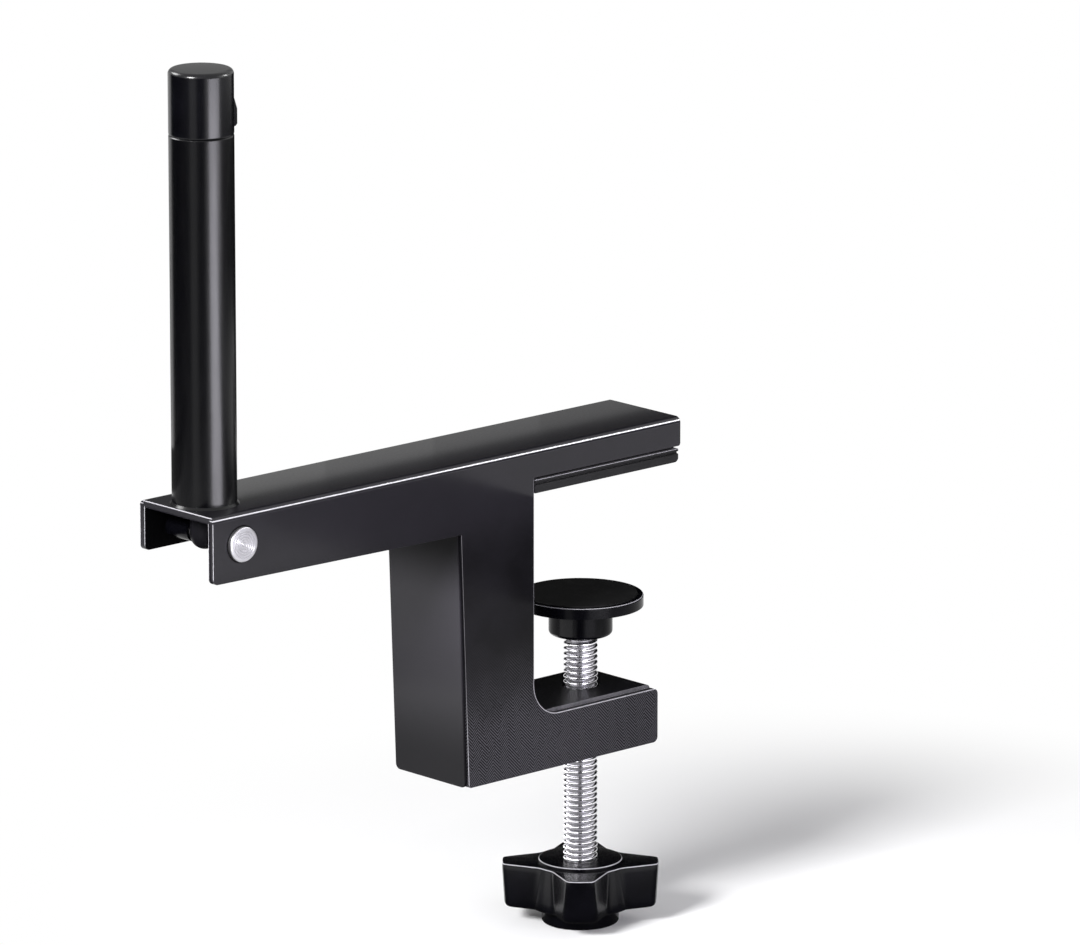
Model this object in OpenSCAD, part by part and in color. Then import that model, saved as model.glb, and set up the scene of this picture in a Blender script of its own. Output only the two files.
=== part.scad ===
// Table tennis net clamp: a post that holds the net's edge, on a pressed steel bracket that a hand
// screw clamps to the edge of the table.
// Frame: X runs from the post towards the table, Z is up. The origin is where the screw's axis meets
// the rubber pad's underside, which rests on the playing surface.

/* [Arm] */
// Width over the two cheeks
arm_width = 37.5; // [35:0.5:44]
// Thickness of the bracket's sheet
sheet = 2.5; // [2:0.1:3]
// Outside radius of the bends between the web and the cheeks
bend_radius = 2.2; // [1.6:0.1:4]
// Distance from the post's axis to the leg's inner edge
post_to_leg = 133; // [110:1:160]
// Distance from the arm's free end to the post's axis
end_to_post = 12.5; // [12:0.5:20]
// Height of the web's top above the playing surface
web_height = 16.3; // [15.5:0.1:22]
// Depth of the front cheek at the arm's free end
end_depth = 23.1; // [21:0.1:30]
// Depth of the rear cheek along the arm
rear_depth = 17.5; // [16:0.1:21]
// Length over which the rear cheek deepens towards the leg
rear_gusset = 30; // [20:1:60]
// Depth of the cheeks where the arm meets the leg
root_depth = 24.8; // [23:0.1:32]
// Depth of the cheeks over the table
jaw_depth = 10.3; // [9.5:0.1:11]
// Radius of the cheeks' outer corners
corner_radius = 2; // [1:0.5:3]

/* [Leg and lower arm] */
// Distance from the leg's inner edge to the screw's axis
leg_to_screw = 39.5; // [36:0.5:50]
// Width of the leg at the arm
leg_width_top = 33.7; // [26:0.1:38]
// Width of the leg at its bottom
leg_width_bottom = 30.3; // [24:0.1:36]
// Distance from the screw's axis to the end of the upper arm
screw_to_arm_end = 30; // [26:0.5:40]
// Distance from the screw's axis to the end of the lower arm
screw_to_lower_end = 19.5; // [17:0.5:30]
// Depth of the lower arm's cheeks
lower_depth = 19.4; // [17:0.1:26]
// Height of the jaw between the pad and the floor plate
jaw_height = 78.3; // [74:0.1:100]
// Radius of the cheeks' fillet between the leg and the lower arm
throat_fillet = 12; // [6:0.5:15]
// Thickness of the throat plate
throat_sheet = 2.5; // [2:0.1:3]
// Thickness of the leg's back plate
back_sheet = 1.2; // [1:0.1:2.5]
// Distance from the cheeks' outer faces to the back plate's edges
back_margin = 1; // [0.5:0.1:2]
// Height of the inner plates above the cheeks' edges
plate_proud = 1.2; // [0.8:0.1:1.6]

/* [Jaw pad] */
// Thickness of the jaw plate
jaw_sheet = 2; // [1.5:0.1:2.5]
// Width of the rubber pad
pad_width = 35.6; // [30:0.2:36]
// Depth of the grooves in the pad's underside
pad_groove_depth = 0.8; // [0.4:0.1:1.2]
// Width of one groove in the pad's underside
pad_groove_width = 1.6; // [1:0.1:2.4]
// Number of ribs under the pad, an odd number
pad_ribs = 7; // [3:2:9]
// Diameter of the pad's two studs
pad_stud = 5; // [4:0.5:6]

/* [Post] */
// Outside diameter of the post
post_diameter = 22; // [20:0.5:24]
// Wall of the post's tube
post_wall = 2; // [1.5:0.1:2.5]
// Height of the post from the web to the cap's seam
post_height = 125.9; // [100:0.1:140]
// Width of the slot for the net's edge
slot_width = 3.5; // [2.5:0.1:4]
// Height of the cap above its seam
cap_height = 22.6; // [20:0.1:30]
// Length of the cap's plug in the tube
cap_plug = 14; // [12:0.5:20]
// Radius of the cap's top edge
cap_edge = 1.7; // [1:0.1:3]
// Reach of the cap's hook beyond the post
hook_reach = 2; // [1.5:0.1:3]
// Diameter of the rivet through the cheeks
rivet_diameter = 5; // [4:0.5:6]
// Diameter of the rivet's head
rivet_head = 12; // [10:0.5:14]
// Depth of the rivet's axis below the web's top
rivet_drop = 10.8; // [10:0.1:13]

/* [Screw] */
// Outside diameter of the screw's thread
screw_diameter = 12; // [10:0.5:12]
// Pitch of the thread
pitch = 2; // [1.75:0.25:2.5]
// Depth of the thread
thread_depth = 1.15; // [0.9:0.05:1.25]
// Gap between the pad and the foot as drawn
opening = 45; // [42:1:50]
// Width across the flats of the nut under the floor
nut_flats = 19; // [17:0.5:22]
// Height of that nut
nut_height = 12; // [8:0.5:14]

/* [Foot] */
// Diameter of the foot
foot_diameter = 44; // [38:1:50]
// Thickness of the foot's rubber facing
facing_thickness = 1.5; // [1:0.1:2]
// Height of the facing above the foot's rim
facing_proud = 0.4; // [0.2:0.1:0.8]
// Thickness of the foot's disc, from the facing's top to its underside
foot_disc = 4.3; // [3.2:0.1:5]
// Diameter of the foot's hub
hub_diameter = 22.4; // [20:0.2:26]
// Height of the hub below the disc
hub_height = 10.5; // [10:0.5:14]
// Diameter of the thrust ball
ball_diameter = 5; // [4:0.5:5]
// Diameter of the screw's neck in the foot
neck_diameter = 6; // [5:0.5:6.5]

/* [Knob] */
// Diameter over the knob's lobes
knob_diameter = 55.2; // [48:0.2:64]
// Half the width of a lobe at its tip
lobe_half_width = 3.9; // [3:0.1:5]
// Half the width of a lobe where it leaves the hub
lobe_root_half_width = 6.8; // [5:0.1:8]
// Radius of the knob's hub between the lobes, at the lobes' top
hub_radius = 16; // [15.5:0.1:19]
// Height of the lobes
lobe_height = 15.8; // [14:0.2:22]
// Angle of the first lobe from the X axis
knob_angle = 47; // [0:1:89]
// Diameter of the boss on top of the knob
top_boss = 29.5; // [26:0.5:31]
// Height of that boss above the lobes
top_boss_height = 1.1; // [0.6:0.1:2]
// Diameter of the boss under the knob
bottom_boss = 27.2; // [26:0.2:30]
// Height of that boss below the lobes
bottom_boss_height = 6.2; // [5:0.2:10]
// Distance from the pad's underside to the knob's top
knob_drop = 141.1; // [141:0.1:165]

/* [Hidden] */
$fn = 96;

black_coat = [0.13, 0.13, 0.15];
black_plastic = [0.08, 0.08, 0.10];
black_rubber = [0.10, 0.10, 0.11];
bright_zinc = [0.78, 0.78, 0.80];
dark_steel = [0.35, 0.35, 0.37];

eps = 0.01;       // overlap of bodies that are joined or cut flush with a face
over = 1;         // the same where a longer overlap changes nothing
fit_gap = 0.05;   // radial gap between pieces that are fitted and stay together
run_gap = 0.15;   // radial gap between pieces that slide or turn on each other
slack = 0.5;      // clearance round the screw where it passes a plate
min_bend = 0.2;   // least inside radius of a bend

// Places along X
leg_edge_x = -leg_to_screw;
post_x = leg_edge_x - post_to_leg;
arm_end_x = post_x - end_to_post;
arm_tip_x = screw_to_arm_end;
lower_tip_x = screw_to_lower_end;
throat_x = leg_edge_x + plate_proud;

// Heights
web_z = web_height;
web_under_z = web_z - sheet;
jaw_edge_z = web_z - jaw_depth;
pad_thickness = jaw_edge_z - plate_proud;
floor_z = -jaw_height;
lower_edge_z = floor_z - plate_proud;
bottom_z = lower_edge_z - lower_depth;
inner_width = arm_width - 2 * sheet;
cheek_y = arm_width / 2;

module mirror_copy(v) {
    children();
    mirror(v) children();
}

// The cut that rounds a square outer corner at the origin, whose two edges run along -x and -y
module corner_cut(r) {
    difference() {
        translate([-r, -r]) square(r + eps);
        translate([-r, -r]) circle(r);
    }
}

// The web that fills a square inner corner at the origin, between edges along +x and +y
module corner_web(r) {
    difference() {
        translate([-eps, -eps]) square(r + eps);
        translate([r, r]) circle(r);
    }
}

function unit(v) = v / norm(v);
function flat(p) = [p[0], p[1]];

// The points of a closed path of [x, y, radius], with each corner as an arc that touches both its edges
function rounded(path, steps = 12) = [
    for (i = [0 : len(path) - 1])
        let (
            corner = flat(path[i]),
            r = path[i][2],
            back = unit(flat(path[(i + len(path) - 1) % len(path)]) - corner),
            ahead = unit(flat(path[(i + 1) % len(path)]) - corner),
            half = acos(back * ahead) / 2,
            centre = corner + unit(back + ahead) * r / sin(half),
            start = corner + back * r / tan(half) - centre,
            end = corner + ahead * r / tan(half) - centre,
            from = atan2(start[1], start[0]),
            turn = (atan2(end[1], end[0]) - from + 540) % 360 - 180
        )
        for (k = [0 : r == 0 ? 0 : steps])
            centre + r * [cos(from + turn * k / steps), sin(from + turn * k / steps)]
];

// Turns a drawing in x and z into a slab of the given width, centred on y = 0
module slab(width) {
    translate([0, width / 2, 0]) rotate([90, 0, 0]) linear_extrude(width) children();
}

// ---------------------------------------------------------------- bracket

leg_top_x = leg_edge_x - leg_width_top;
leg_bottom_x = leg_edge_x - leg_width_bottom;
root_z = web_z - root_depth;

// The outline of one cheek, with its lower edge along the arm as a path of [x, z, radius]
module cheek_outline(arm_edge) {
    polygon(rounded(concat([
        [arm_end_x, web_z, 0],
        [arm_tip_x, web_z, 0],
        [arm_tip_x, jaw_edge_z, corner_radius / 2],
        [leg_edge_x, jaw_edge_z, 0],
        [leg_edge_x, lower_edge_z, throat_fillet],
        [lower_tip_x, lower_edge_z, corner_radius],
        [lower_tip_x, bottom_z, corner_radius],
        [leg_bottom_x, bottom_z, corner_radius / 2],
        [leg_top_x, root_z, 0]
    ], arm_edge)));
}

// Section across the arm: the sheet bent down on both sides, drawn in y and z
module channel_section() {
    inner_bend = max(bend_radius - sheet, min_bend);
    difference() {
        translate([-cheek_y, bottom_z - eps]) square([arm_width, web_z - bottom_z + eps]);
        mirror_copy([1, 0]) translate([cheek_y, web_z]) corner_cut(bend_radius);
        difference() {
            translate([-inner_width / 2, bottom_z - over])
                square([inner_width, web_under_z - bottom_z + over]);
            mirror_copy([1, 0]) translate([inner_width / 2, web_under_z]) corner_cut(inner_bend);
        }
    }
}

module bracket() {
    length = arm_tip_x - arm_end_x;
    rear_z = web_z - rear_depth;
    front_edge = [[arm_end_x, web_z - end_depth, corner_radius]];
    rear_edge = [[leg_top_x - rear_gusset, rear_z, 2 * corner_radius], [arm_end_x, rear_z, corner_radius]];
    color(black_coat) difference() {
        intersection() {
            union() {
                translate([0, -cheek_y / 2, 0]) slab(cheek_y) cheek_outline(front_edge);
                translate([0, cheek_y / 2, 0]) slab(cheek_y) cheek_outline(rear_edge);
            }
            translate([arm_end_x, 0, 0]) rotate([90, 0, 90]) linear_extrude(length) channel_section();
        }
        translate([post_x, 0, web_under_z - eps]) cylinder(r = shank_r + fit_gap, h = sheet + 2 * eps);
        translate([post_x, 0, rivet_z]) rotate([90, 0, 0])
            cylinder(r = rivet_r + fit_gap, h = arm_width + 2 * over, center = true);
    }
}

// Lies on the back edges of the leg's cheeks, from the arm down to the leg's foot
module leg_back_plate() {
    half_width = cheek_y - back_margin;
    color(black_coat) intersection() {
        slab(arm_width) polygon([
            [leg_bottom_x, bottom_z], [leg_top_x, root_z],
            [leg_top_x - back_sheet, root_z], [leg_bottom_x - back_sheet, bottom_z]
        ]);
        translate([leg_top_x - 2 * back_sheet, 0, 0]) rotate([90, 0, 90])
            linear_extrude(leg_width_top) polygon(rounded([
                [-half_width, bottom_z, corner_radius], [half_width, bottom_z, corner_radius],
                [half_width, root_z, 0], [-half_width, root_z, 0]
            ]));
    }
}

throat_bend = 4; // inside radius of the throat plate's bend
floor_setback = 1.5; // distance of the floor's end from the lower arm's end
floor_nose = 1.6; // radius of the floor's end

module throat_plate() {
    floor_end_x = lower_tip_x - floor_setback;
    color(black_coat) difference() {
        slab(inner_width) union() {
            difference() {
                translate([throat_x - throat_sheet, floor_z - throat_sheet])
                    square([throat_sheet, pad_thickness - floor_z + throat_sheet]);
                translate([throat_x - throat_sheet, floor_z - throat_sheet]) rotate(180)
                    corner_cut(throat_bend);
            }
            difference() {
                translate([throat_x, floor_z - throat_sheet]) square([floor_end_x - throat_x, throat_sheet]);
                translate([floor_end_x, floor_z]) corner_cut(floor_nose);
            }
            translate([throat_x, floor_z]) corner_web(throat_bend);
        }
        translate([0, 0, floor_z - throat_sheet - eps])
            cylinder(r = screw_r + slack, h = throat_sheet + 2 * eps);
    }
}

// ---------------------------------------------------------------- upper jaw

plate_setback = 0.8; // distance of the jaw plate's end from the upper arm's end
pad_start_x = throat_x + run_gap;
pad_end_x = arm_tip_x;
stud_spread = 0.55; // distance between the two studs as a share of the pad's length
stud_x = [for (side = [-1, 1])
    (pad_start_x + pad_end_x + side * stud_spread * (pad_end_x - pad_start_x)) / 2];

module jaw_plate() {
    start_x = throat_x - throat_sheet;
    color(black_coat) difference() {
        translate([start_x, -inner_width / 2, pad_thickness])
            cube([arm_tip_x - plate_setback - start_x, inner_width, jaw_sheet]);
        for (x = stud_x)
            translate([x, 0, pad_thickness - eps])
                cylinder(d = pad_stud + 2 * fit_gap, h = jaw_sheet + 2 * eps);
    }
}

// Section across the pad, drawn in y and z: ribs below, and one groove along each side
module pad_section() {
    lip = 1; // height of the edge above a side groove
    side_groove_height = 1.1;
    side_groove_depth = 0.8;
    groove_pitch = (pad_width - pad_groove_width) / pad_ribs;
    difference() {
        translate([-pad_width / 2, 0]) square([pad_width, pad_thickness]);
        mirror_copy([1, 0])
            translate([pad_width / 2 - side_groove_depth, pad_thickness - lip - side_groove_height])
                square([side_groove_depth + eps, side_groove_height]);
        for (i = [1 : pad_ribs - 1])
            translate([(i - pad_ribs / 2) * groove_pitch - pad_groove_width / 2, -eps])
                square([pad_groove_width, pad_groove_depth + eps]);
    }
}

module table_pad() {
    stud_head = 1.6; // height of the barbed head that holds a stud
    barb = 0.9; // overhang of that head
    head_z = pad_thickness + jaw_sheet + fit_gap;
    color(black_rubber) {
        difference() {
            translate([pad_start_x, 0, 0]) rotate([90, 0, 90])
                linear_extrude(pad_end_x - pad_start_x) pad_section();
            slab(pad_width + 2 * over)
                translate([pad_end_x, 0]) mirror([0, 1]) corner_cut(corner_radius);
        }
        for (x = stud_x) translate([x, 0, 0]) {
            translate([0, 0, pad_thickness - eps]) cylinder(d = pad_stud, h = jaw_sheet + fit_gap + 2 * eps);
            translate([0, 0, head_z])
                cylinder(r1 = pad_stud / 2 + barb, r2 = pad_stud / 2 - barb, h = stud_head);
        }
    }
}

// ---------------------------------------------------------------- post

post_r = post_diameter / 2;
bore_r = post_r - post_wall;
shank_r = 5; // the spigot's shank below the web
rivet_r = rivet_diameter / 2;
rivet_z = web_z - rivet_drop;
seam_z = web_z + post_height;
post_bead = 0.8; // weld bead round the post's foot
seam_bevel = 0.4; // bevel on both sides of the cap's seam
spigot_height = 20;

module post_tube() {
    slot_rise = 5; // height of the slot's round end above the web
    slot_low_z = web_z + slot_rise;
    color(black_coat) translate([post_x, 0, 0]) difference() {
        rotate_extrude() polygon([
            [bore_r, web_z], [post_r + post_bead, web_z], [post_r, web_z + post_bead],
            [post_r, seam_z - seam_bevel], [post_r - seam_bevel, seam_z], [bore_r, seam_z]
        ]);
        translate([0, -slot_width / 2, slot_low_z + slot_width / 2])
            cube([post_r + over, slot_width, post_height]);
        translate([0, 0, slot_low_z + slot_width / 2]) rotate([0, 90, 0])
            cylinder(d = slot_width, h = post_r + over);
    }
}

module post_spigot() {
    plug_r = bore_r - fit_gap;
    bevel = 1;
    color(black_coat) translate([post_x, 0, 0]) difference() {
        union() {
            translate([0, 0, web_z]) rotate_extrude() polygon([
                [0, 0], [plug_r, 0], [plug_r, spigot_height - bevel], [plug_r - bevel, spigot_height],
                [0, spigot_height]
            ]);
            translate([0, 0, rivet_z]) cylinder(r = shank_r, h = rivet_drop + eps);
            translate([0, 0, rivet_z]) sphere(shank_r);
        }
        translate([0, 0, rivet_z]) rotate([90, 0, 0])
            cylinder(r = rivet_r + fit_gap, h = 2 * (shank_r + over), center = true);
    }
}

rivet_head_height = 1.5;
washer_thickness = 1;

module cross_rivet() {
    head_bevel = 0.5;
    tail_r = rivet_r + 1.75; // the tail is set to this radius
    tail_height = 1.8;
    reach = cheek_y + washer_thickness;
    color(bright_zinc) translate([post_x, 0, rivet_z]) rotate([90, 0, 0]) rotate_extrude() polygon([
        [0, -reach - tail_height], [tail_r - head_bevel, -reach - tail_height],
        [tail_r, -reach - tail_height / 2], [tail_r, -reach],
        [rivet_r, -reach], [rivet_r, cheek_y], [rivet_head / 2, cheek_y],
        [rivet_head / 2, cheek_y + rivet_head_height - head_bevel],
        [rivet_head / 2 - head_bevel, cheek_y + rivet_head_height], [0, cheek_y + rivet_head_height]
    ]);
}

module rivet_spacers() {
    wall = 1;
    color(black_plastic) mirror_copy([0, 1, 0]) translate([post_x, inner_width / 2, rivet_z])
        rotate([90, 0, 0]) difference() {
            cylinder(r = rivet_r + fit_gap + wall, h = inner_width / 2 - shank_r - run_gap);
            translate([0, 0, -eps]) cylinder(r = rivet_r + fit_gap, h = inner_width);
        }
}

module rivet_washer() {
    color(bright_zinc) translate([post_x, cheek_y, rivet_z]) rotate([-90, 0, 0]) difference() {
        cylinder(d = rivet_head, h = washer_thickness);
        translate([0, 0, -eps]) cylinder(r = rivet_r + fit_gap, h = washer_thickness + 2 * eps);
    }
}

plug_r = bore_r - run_gap;
ring_r = 0.9; // radius of the rubber ring's section
ring_z = seam_z - cap_plug / 2;
ring_seat_r = plug_r - 2 * ring_r + run_gap; // floor of the ring's groove

// The hook's outline in x and z, as it stands out of the cap: full reach below, sloping in above
module hook_outline() {
    low_z = 1.5;
    full_z = 7.4;
    top_z = 11;
    edge = 0.8; // bevel under the hook
    root_x = post_r - cap_edge;
    polygon([
        [root_x, low_z], [post_r + hook_reach - edge, low_z], [post_r + hook_reach, low_z + edge],
        [post_r + hook_reach, full_z], [post_r + edge, top_z], [root_x, top_z + cap_edge]
    ]);
}

module post_cap() {
    hook_width = 7;
    cap_wall = 3;
    cap_roof = 11.3; // the plastic above the cap's hollow
    dish = 0.3; // the top's crown
    color(black_plastic) translate([post_x, 0, seam_z]) {
        difference() {
            union() {
                rotate_extrude() difference() {
                    polygon([
                        [0, 0], [post_r - seam_bevel, 0], [post_r, seam_bevel], [post_r, cap_height - dish],
                        [post_r - cap_edge, cap_height - dish], [0, cap_height]
                    ]);
                    translate([post_r, cap_height - dish]) corner_cut(cap_edge);
                }
                slab(hook_width) hook_outline();
                translate([0, 0, -cap_plug]) cylinder(r = plug_r, h = cap_plug + eps);
            }
            translate([0, 0, -cap_plug - eps])
                cylinder(r = plug_r - cap_wall, h = cap_plug + cap_height - cap_roof + eps);
            translate([0, 0, -cap_plug / 2 - ring_r]) difference() {
                cylinder(r = plug_r + over, h = 2 * ring_r);
                translate([0, 0, -eps]) cylinder(r = ring_seat_r, h = 2 * ring_r + 2 * eps);
            }
        }
    }
}

module cap_grip_ring() {
    color(black_rubber) translate([post_x, 0, ring_z]) rotate_extrude()
        translate([ring_seat_r + ring_r, 0]) circle(r = ring_r - fit_gap, $fn = 32);
}

// ---------------------------------------------------------------- foot

foot_z = -opening;
disc_under_z = foot_z - foot_disc;
hub_under_z = disc_under_z - hub_height;
foot_r = foot_diameter / 2;
foot_rim = 2; // width of the rim round the rubber facing
ball_r = ball_diameter / 2;
ball_drop = 3.3; // depth of the ball's centre, where the foot tilts, below the disc
ball_z = disc_under_z - ball_drop;
ball_seat = 1.6; // depth of the flange's top below the ball's centre
neck_r = neck_diameter / 2;
flange_reach = 1.7; // reach of the flange beyond the neck
flange_r = neck_r + flange_reach;
flange_top_z = ball_z - ball_seat;
flange_height = 2.2;
tilt_room = 1.9; // room round the flange, in which the foot tilts
cavity_r = flange_r + tilt_room;
keeper_drop = 0.7; // distance of the spring ring below the flange
keeper_top_z = flange_top_z - flange_height - keeper_drop;
keeper_height = 1;
keeper_seat = 0.65; // depth of the spring ring's groove in the hub

module foot_plate() {
    hub_edge = 1.5;
    rim_edge = 0.6;
    disc_top_z = foot_z - facing_proud;
    color(black_plastic) difference() {
        union() {
            rotate_extrude() difference() {
                translate([0, disc_under_z]) square([foot_r, disc_top_z - disc_under_z]);
                translate([foot_r, disc_top_z]) corner_cut(rim_edge);
            }
            rotate_extrude() difference() {
                translate([0, hub_under_z]) square([hub_diameter / 2, hub_height + eps]);
                translate([hub_diameter / 2, hub_under_z]) mirror([0, 1]) corner_cut(hub_edge);
            }
        }
        translate([0, 0, foot_z - facing_thickness])
            cylinder(r = foot_r - foot_rim, h = facing_thickness + eps);
        translate([0, 0, hub_under_z - eps]) cylinder(r = cavity_r, h = ball_z - hub_under_z + eps);
        translate([0, 0, ball_z]) sphere(ball_r + run_gap);
        translate([0, 0, keeper_top_z - keeper_height - fit_gap])
            cylinder(r = cavity_r + keeper_seat + fit_gap, h = keeper_height + 2 * fit_gap);
    }
}

module foot_facing() {
    color(black_rubber) translate([0, 0, foot_z - facing_thickness])
        cylinder(r = foot_r - foot_rim - fit_gap, h = facing_thickness);
}

module retaining_ring() {
    gap_angle = 40;
    neck_room = 0.9; // room round the neck inside the spring ring
    inner_r = neck_r + neck_room;
    color(dark_steel) translate([0, 0, keeper_top_z - keeper_height]) rotate(gap_angle / 2)
        rotate_extrude(angle = 360 - gap_angle)
            translate([inner_r, 0]) square([cavity_r + keeper_seat - inner_r, keeper_height]);
}

module thrust_ball() {
    color(bright_zinc) translate([0, 0, ball_z]) sphere(ball_r);
}

// ---------------------------------------------------------------- screw

screw_r = screw_diameter / 2;
root_r = screw_r - thread_depth;
bare_neck = 1.3; // length of the neck that shows between the hub and the thread
thread_top_z = hub_under_z - bare_neck;
knob_z = -knob_drop;
lobe_top_z = knob_z - top_boss_height;
lobe_bottom_z = lobe_top_z - lobe_height;
knob_bottom_z = lobe_bottom_z - bottom_boss_height;
end_rise = 4.5; // height of the screw's lower end above the knob's bottom
thread_bottom_z = knob_bottom_z + end_rise;
thread_sides = 20; // flats round one turn
crest_share = 0.4; // share of the pitch that the crest takes
root_share = 0.16; // share of the pitch that the root takes
end_share = 0.25; // share of the pitch in which the first and last turns are crowded
chamfer = 0.6; // depth of the chamfer on the thread's ends
nut_play = 0.2; // radial play of the screw's thread in the nut's

// One pitch of the thread: [share of the pitch, radius] at the four edges of its trapezium.
// grow moves the profile outwards, and half as far along the axis, to cut the nut's thread with play.
function thread_profile(grow) =
    let (crest = crest_share / 2 + grow / 2 / pitch, root = root_share / 2 - grow / 2 / pitch)
    [
        [-crest, screw_r + grow], [crest, screw_r + grow],
        [0.5 - root, root_r + grow], [0.5 + root, root_r + grow]
    ];

// Heights beyond an end crowd towards it instead of crossing it, so that the end comes out flat
function crowded(z, low, high) =
    let (room = end_share * pitch)
    z > high - room ? high - room * exp(-(z - high + room) / (2 * pitch)) :
    z < low + room ? low + room * exp((z - low - room) / (2 * pitch)) : z;

// Points of a thread's surface. Row i holds edge i % 4 of turn floor(i / 4), one point for each flat.
function thread_points(low, high, grow) =
    let (
        profile = thread_profile(grow),
        turns = ceil((high - low) / pitch) + 4,
        start = floor(low / pitch) - 2
    )
    [for (i = [0 : 4 * turns]) for (j = [0 : thread_sides - 1])
        let (
            edge = profile[i % 4],
            angle = 360 * j / thread_sides,
            raw = (start + floor(i / 4) + j / thread_sides + edge[0]) * pitch,
            z = crowded(raw, low, high),
            from_end = min(z - low, high - z),
            r = min(edge[1], screw_r + grow - max(0, chamfer - from_end / 2))
        ) [r * cos(angle), r * sin(angle), z]];

function row_point(i, j) = j < thread_sides ? i * thread_sides + j : (i + 4) * thread_sides;

// The strips between neighbouring rows, which run on into the next turn at the last flat
function thread_faces(rows) = [
    for (i = [0 : rows - 6]) for (j = [0 : thread_sides - 1]) each [
        [row_point(i, j), row_point(i + 1, j), row_point(i, j + 1)],
        [row_point(i, j + 1), row_point(i + 1, j), row_point(i + 1, j + 1)]
    ]
];

// The edge of the surface below and above: one turn of a row, and the step back at the last flat
function low_rim() = concat(
    [for (j = [0 : thread_sides - 1]) row_point(0, j)], [for (i = [4 : -1 : 1]) row_point(i, 0)]
);
function high_rim(rows) = concat(
    [for (j = [0 : thread_sides - 1]) row_point(rows - 5, j)],
    [for (i = [rows - 1 : -1 : rows - 4]) row_point(i, 0)]
);

module threaded_rod(low, high, grow = 0) {
    points = thread_points(low, high, grow);
    rows = len(points) / thread_sides;
    bottom = len(points);
    lower = low_rim();
    upper = high_rim(rows);
    polyhedron(
        points = concat(points, [[0, 0, low], [0, 0, high]]),
        faces = concat(
            thread_faces(rows),
            [for (k = [0 : len(lower) - 1]) [lower[k], lower[(k + 1) % len(lower)], bottom]],
            [for (k = [0 : len(upper) - 1]) [upper[(k + 1) % len(upper)], upper[k], bottom + 1]]
        )
    );
}

module clamp_spindle() {
    color(bright_zinc) threaded_rod(thread_bottom_z, thread_top_z);
}

module spindle_tip() {
    color(bright_zinc) difference() {
        union() {
            translate([0, 0, thread_top_z]) cylinder(r = neck_r, h = flange_top_z - thread_top_z);
            translate([0, 0, flange_top_z - flange_height]) cylinder(r = flange_r, h = flange_height);
        }
        translate([0, 0, ball_z]) sphere(ball_r + run_gap);
    }
}

module spindle_nut() {
    nut_top_z = floor_z - throat_sheet;
    nut_under_z = nut_top_z - nut_height;
    color(dark_steel) difference() {
        translate([0, 0, nut_under_z]) cylinder(d = nut_flats / cos(30), h = nut_height, $fn = 6);
        threaded_rod(nut_under_z - pitch, nut_top_z + pitch, nut_play);
    }
}

// ---------------------------------------------------------------- knob

insert_flats = 20;
insert_height = 11;
locknut_height = 5;
knob_roof = 2.4; // the plastic above the insert
insert_top_z = knob_z - knob_roof;
locknut_top_z = insert_top_z - insert_height;
recess_r = 11.6; // the round recess that takes the insert and the nut from below
cover_thickness = 2;

tip_r = knob_diameter / 2;
hub_flare = 3.2; // how much wider the hub is at the lobes' bottom than at their top
lobe_flare = 1.5; // the same for each of a lobe's two sides

// One lobe along the X axis: a flat-sided wedge that narrows from the knob's axis to its tip
module lobe() {
    taper = (lobe_root_half_width - lobe_half_width) / (tip_r - hub_radius);
    function half_width(x, z) =
        lobe_half_width + taper * (tip_r - x) + lobe_flare * (lobe_top_z - z) / lobe_height;
    polyhedron(
        points = [
            for (z = [lobe_bottom_z, lobe_top_z]) for (x = [0, tip_r + over]) for (side = [-1, 1])
                [x, side * half_width(x, z), z]
        ],
        faces = [[0, 2, 3, 1], [4, 5, 7, 6], [0, 4, 6, 2], [1, 3, 7, 5], [0, 1, 5, 4], [2, 6, 7, 3]]
    );
}

// The profile that bounds hub and lobes, turned about the axis: it narrows downwards and has round edges
module lobe_profile() {
    draft = 0.9;
    lower_round = 2;
    upper_round = 0.5;
    difference() {
        polygon([
            [0, lobe_bottom_z], [tip_r - draft, lobe_bottom_z], [tip_r, lobe_top_z], [0, lobe_top_z]
        ]);
        translate([tip_r - draft, lobe_bottom_z]) mirror([0, 1]) corner_cut(lower_round);
        translate([tip_r, lobe_top_z]) corner_cut(upper_round);
    }
}

module knob_body() {
    boss_edge = 1;
    color(black_plastic) difference() {
        union() {
            intersection() {
                union() {
                    translate([0, 0, lobe_bottom_z])
                        cylinder(r1 = hub_radius + hub_flare, r2 = hub_radius, h = lobe_height);
                    for (quarter = [0 : 3]) rotate(knob_angle + 90 * quarter) lobe();
                }
                rotate_extrude() lobe_profile();
            }
            rotate_extrude() difference() {
                union() {
                    translate([0, lobe_bottom_z]) square([top_boss / 2, knob_z - lobe_bottom_z]);
                    translate([0, knob_bottom_z]) square([bottom_boss / 2, bottom_boss_height + over]);
                }
                translate([top_boss / 2, knob_z]) corner_cut(boss_edge / 2);
                translate([bottom_boss / 2, knob_bottom_z]) mirror([0, 1]) corner_cut(boss_edge);
            }
        }
        translate([0, 0, insert_top_z - eps]) cylinder(r = screw_r + run_gap, h = knob_roof + 2 * eps);
        translate([0, 0, locknut_top_z])
            cylinder(d = insert_flats / cos(30) + 2 * fit_gap, h = insert_height, $fn = 6);
        translate([0, 0, knob_bottom_z - eps])
            cylinder(r = recess_r, h = locknut_top_z - knob_bottom_z + 2 * eps);
    }
}

module knob_insert() {
    color(dark_steel) difference() {
        translate([0, 0, locknut_top_z]) cylinder(d = insert_flats / cos(30), h = insert_height, $fn = 6);
        translate([0, 0, locknut_top_z - eps]) cylinder(r = screw_r + fit_gap, h = insert_height + 2 * eps);
    }
}

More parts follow.
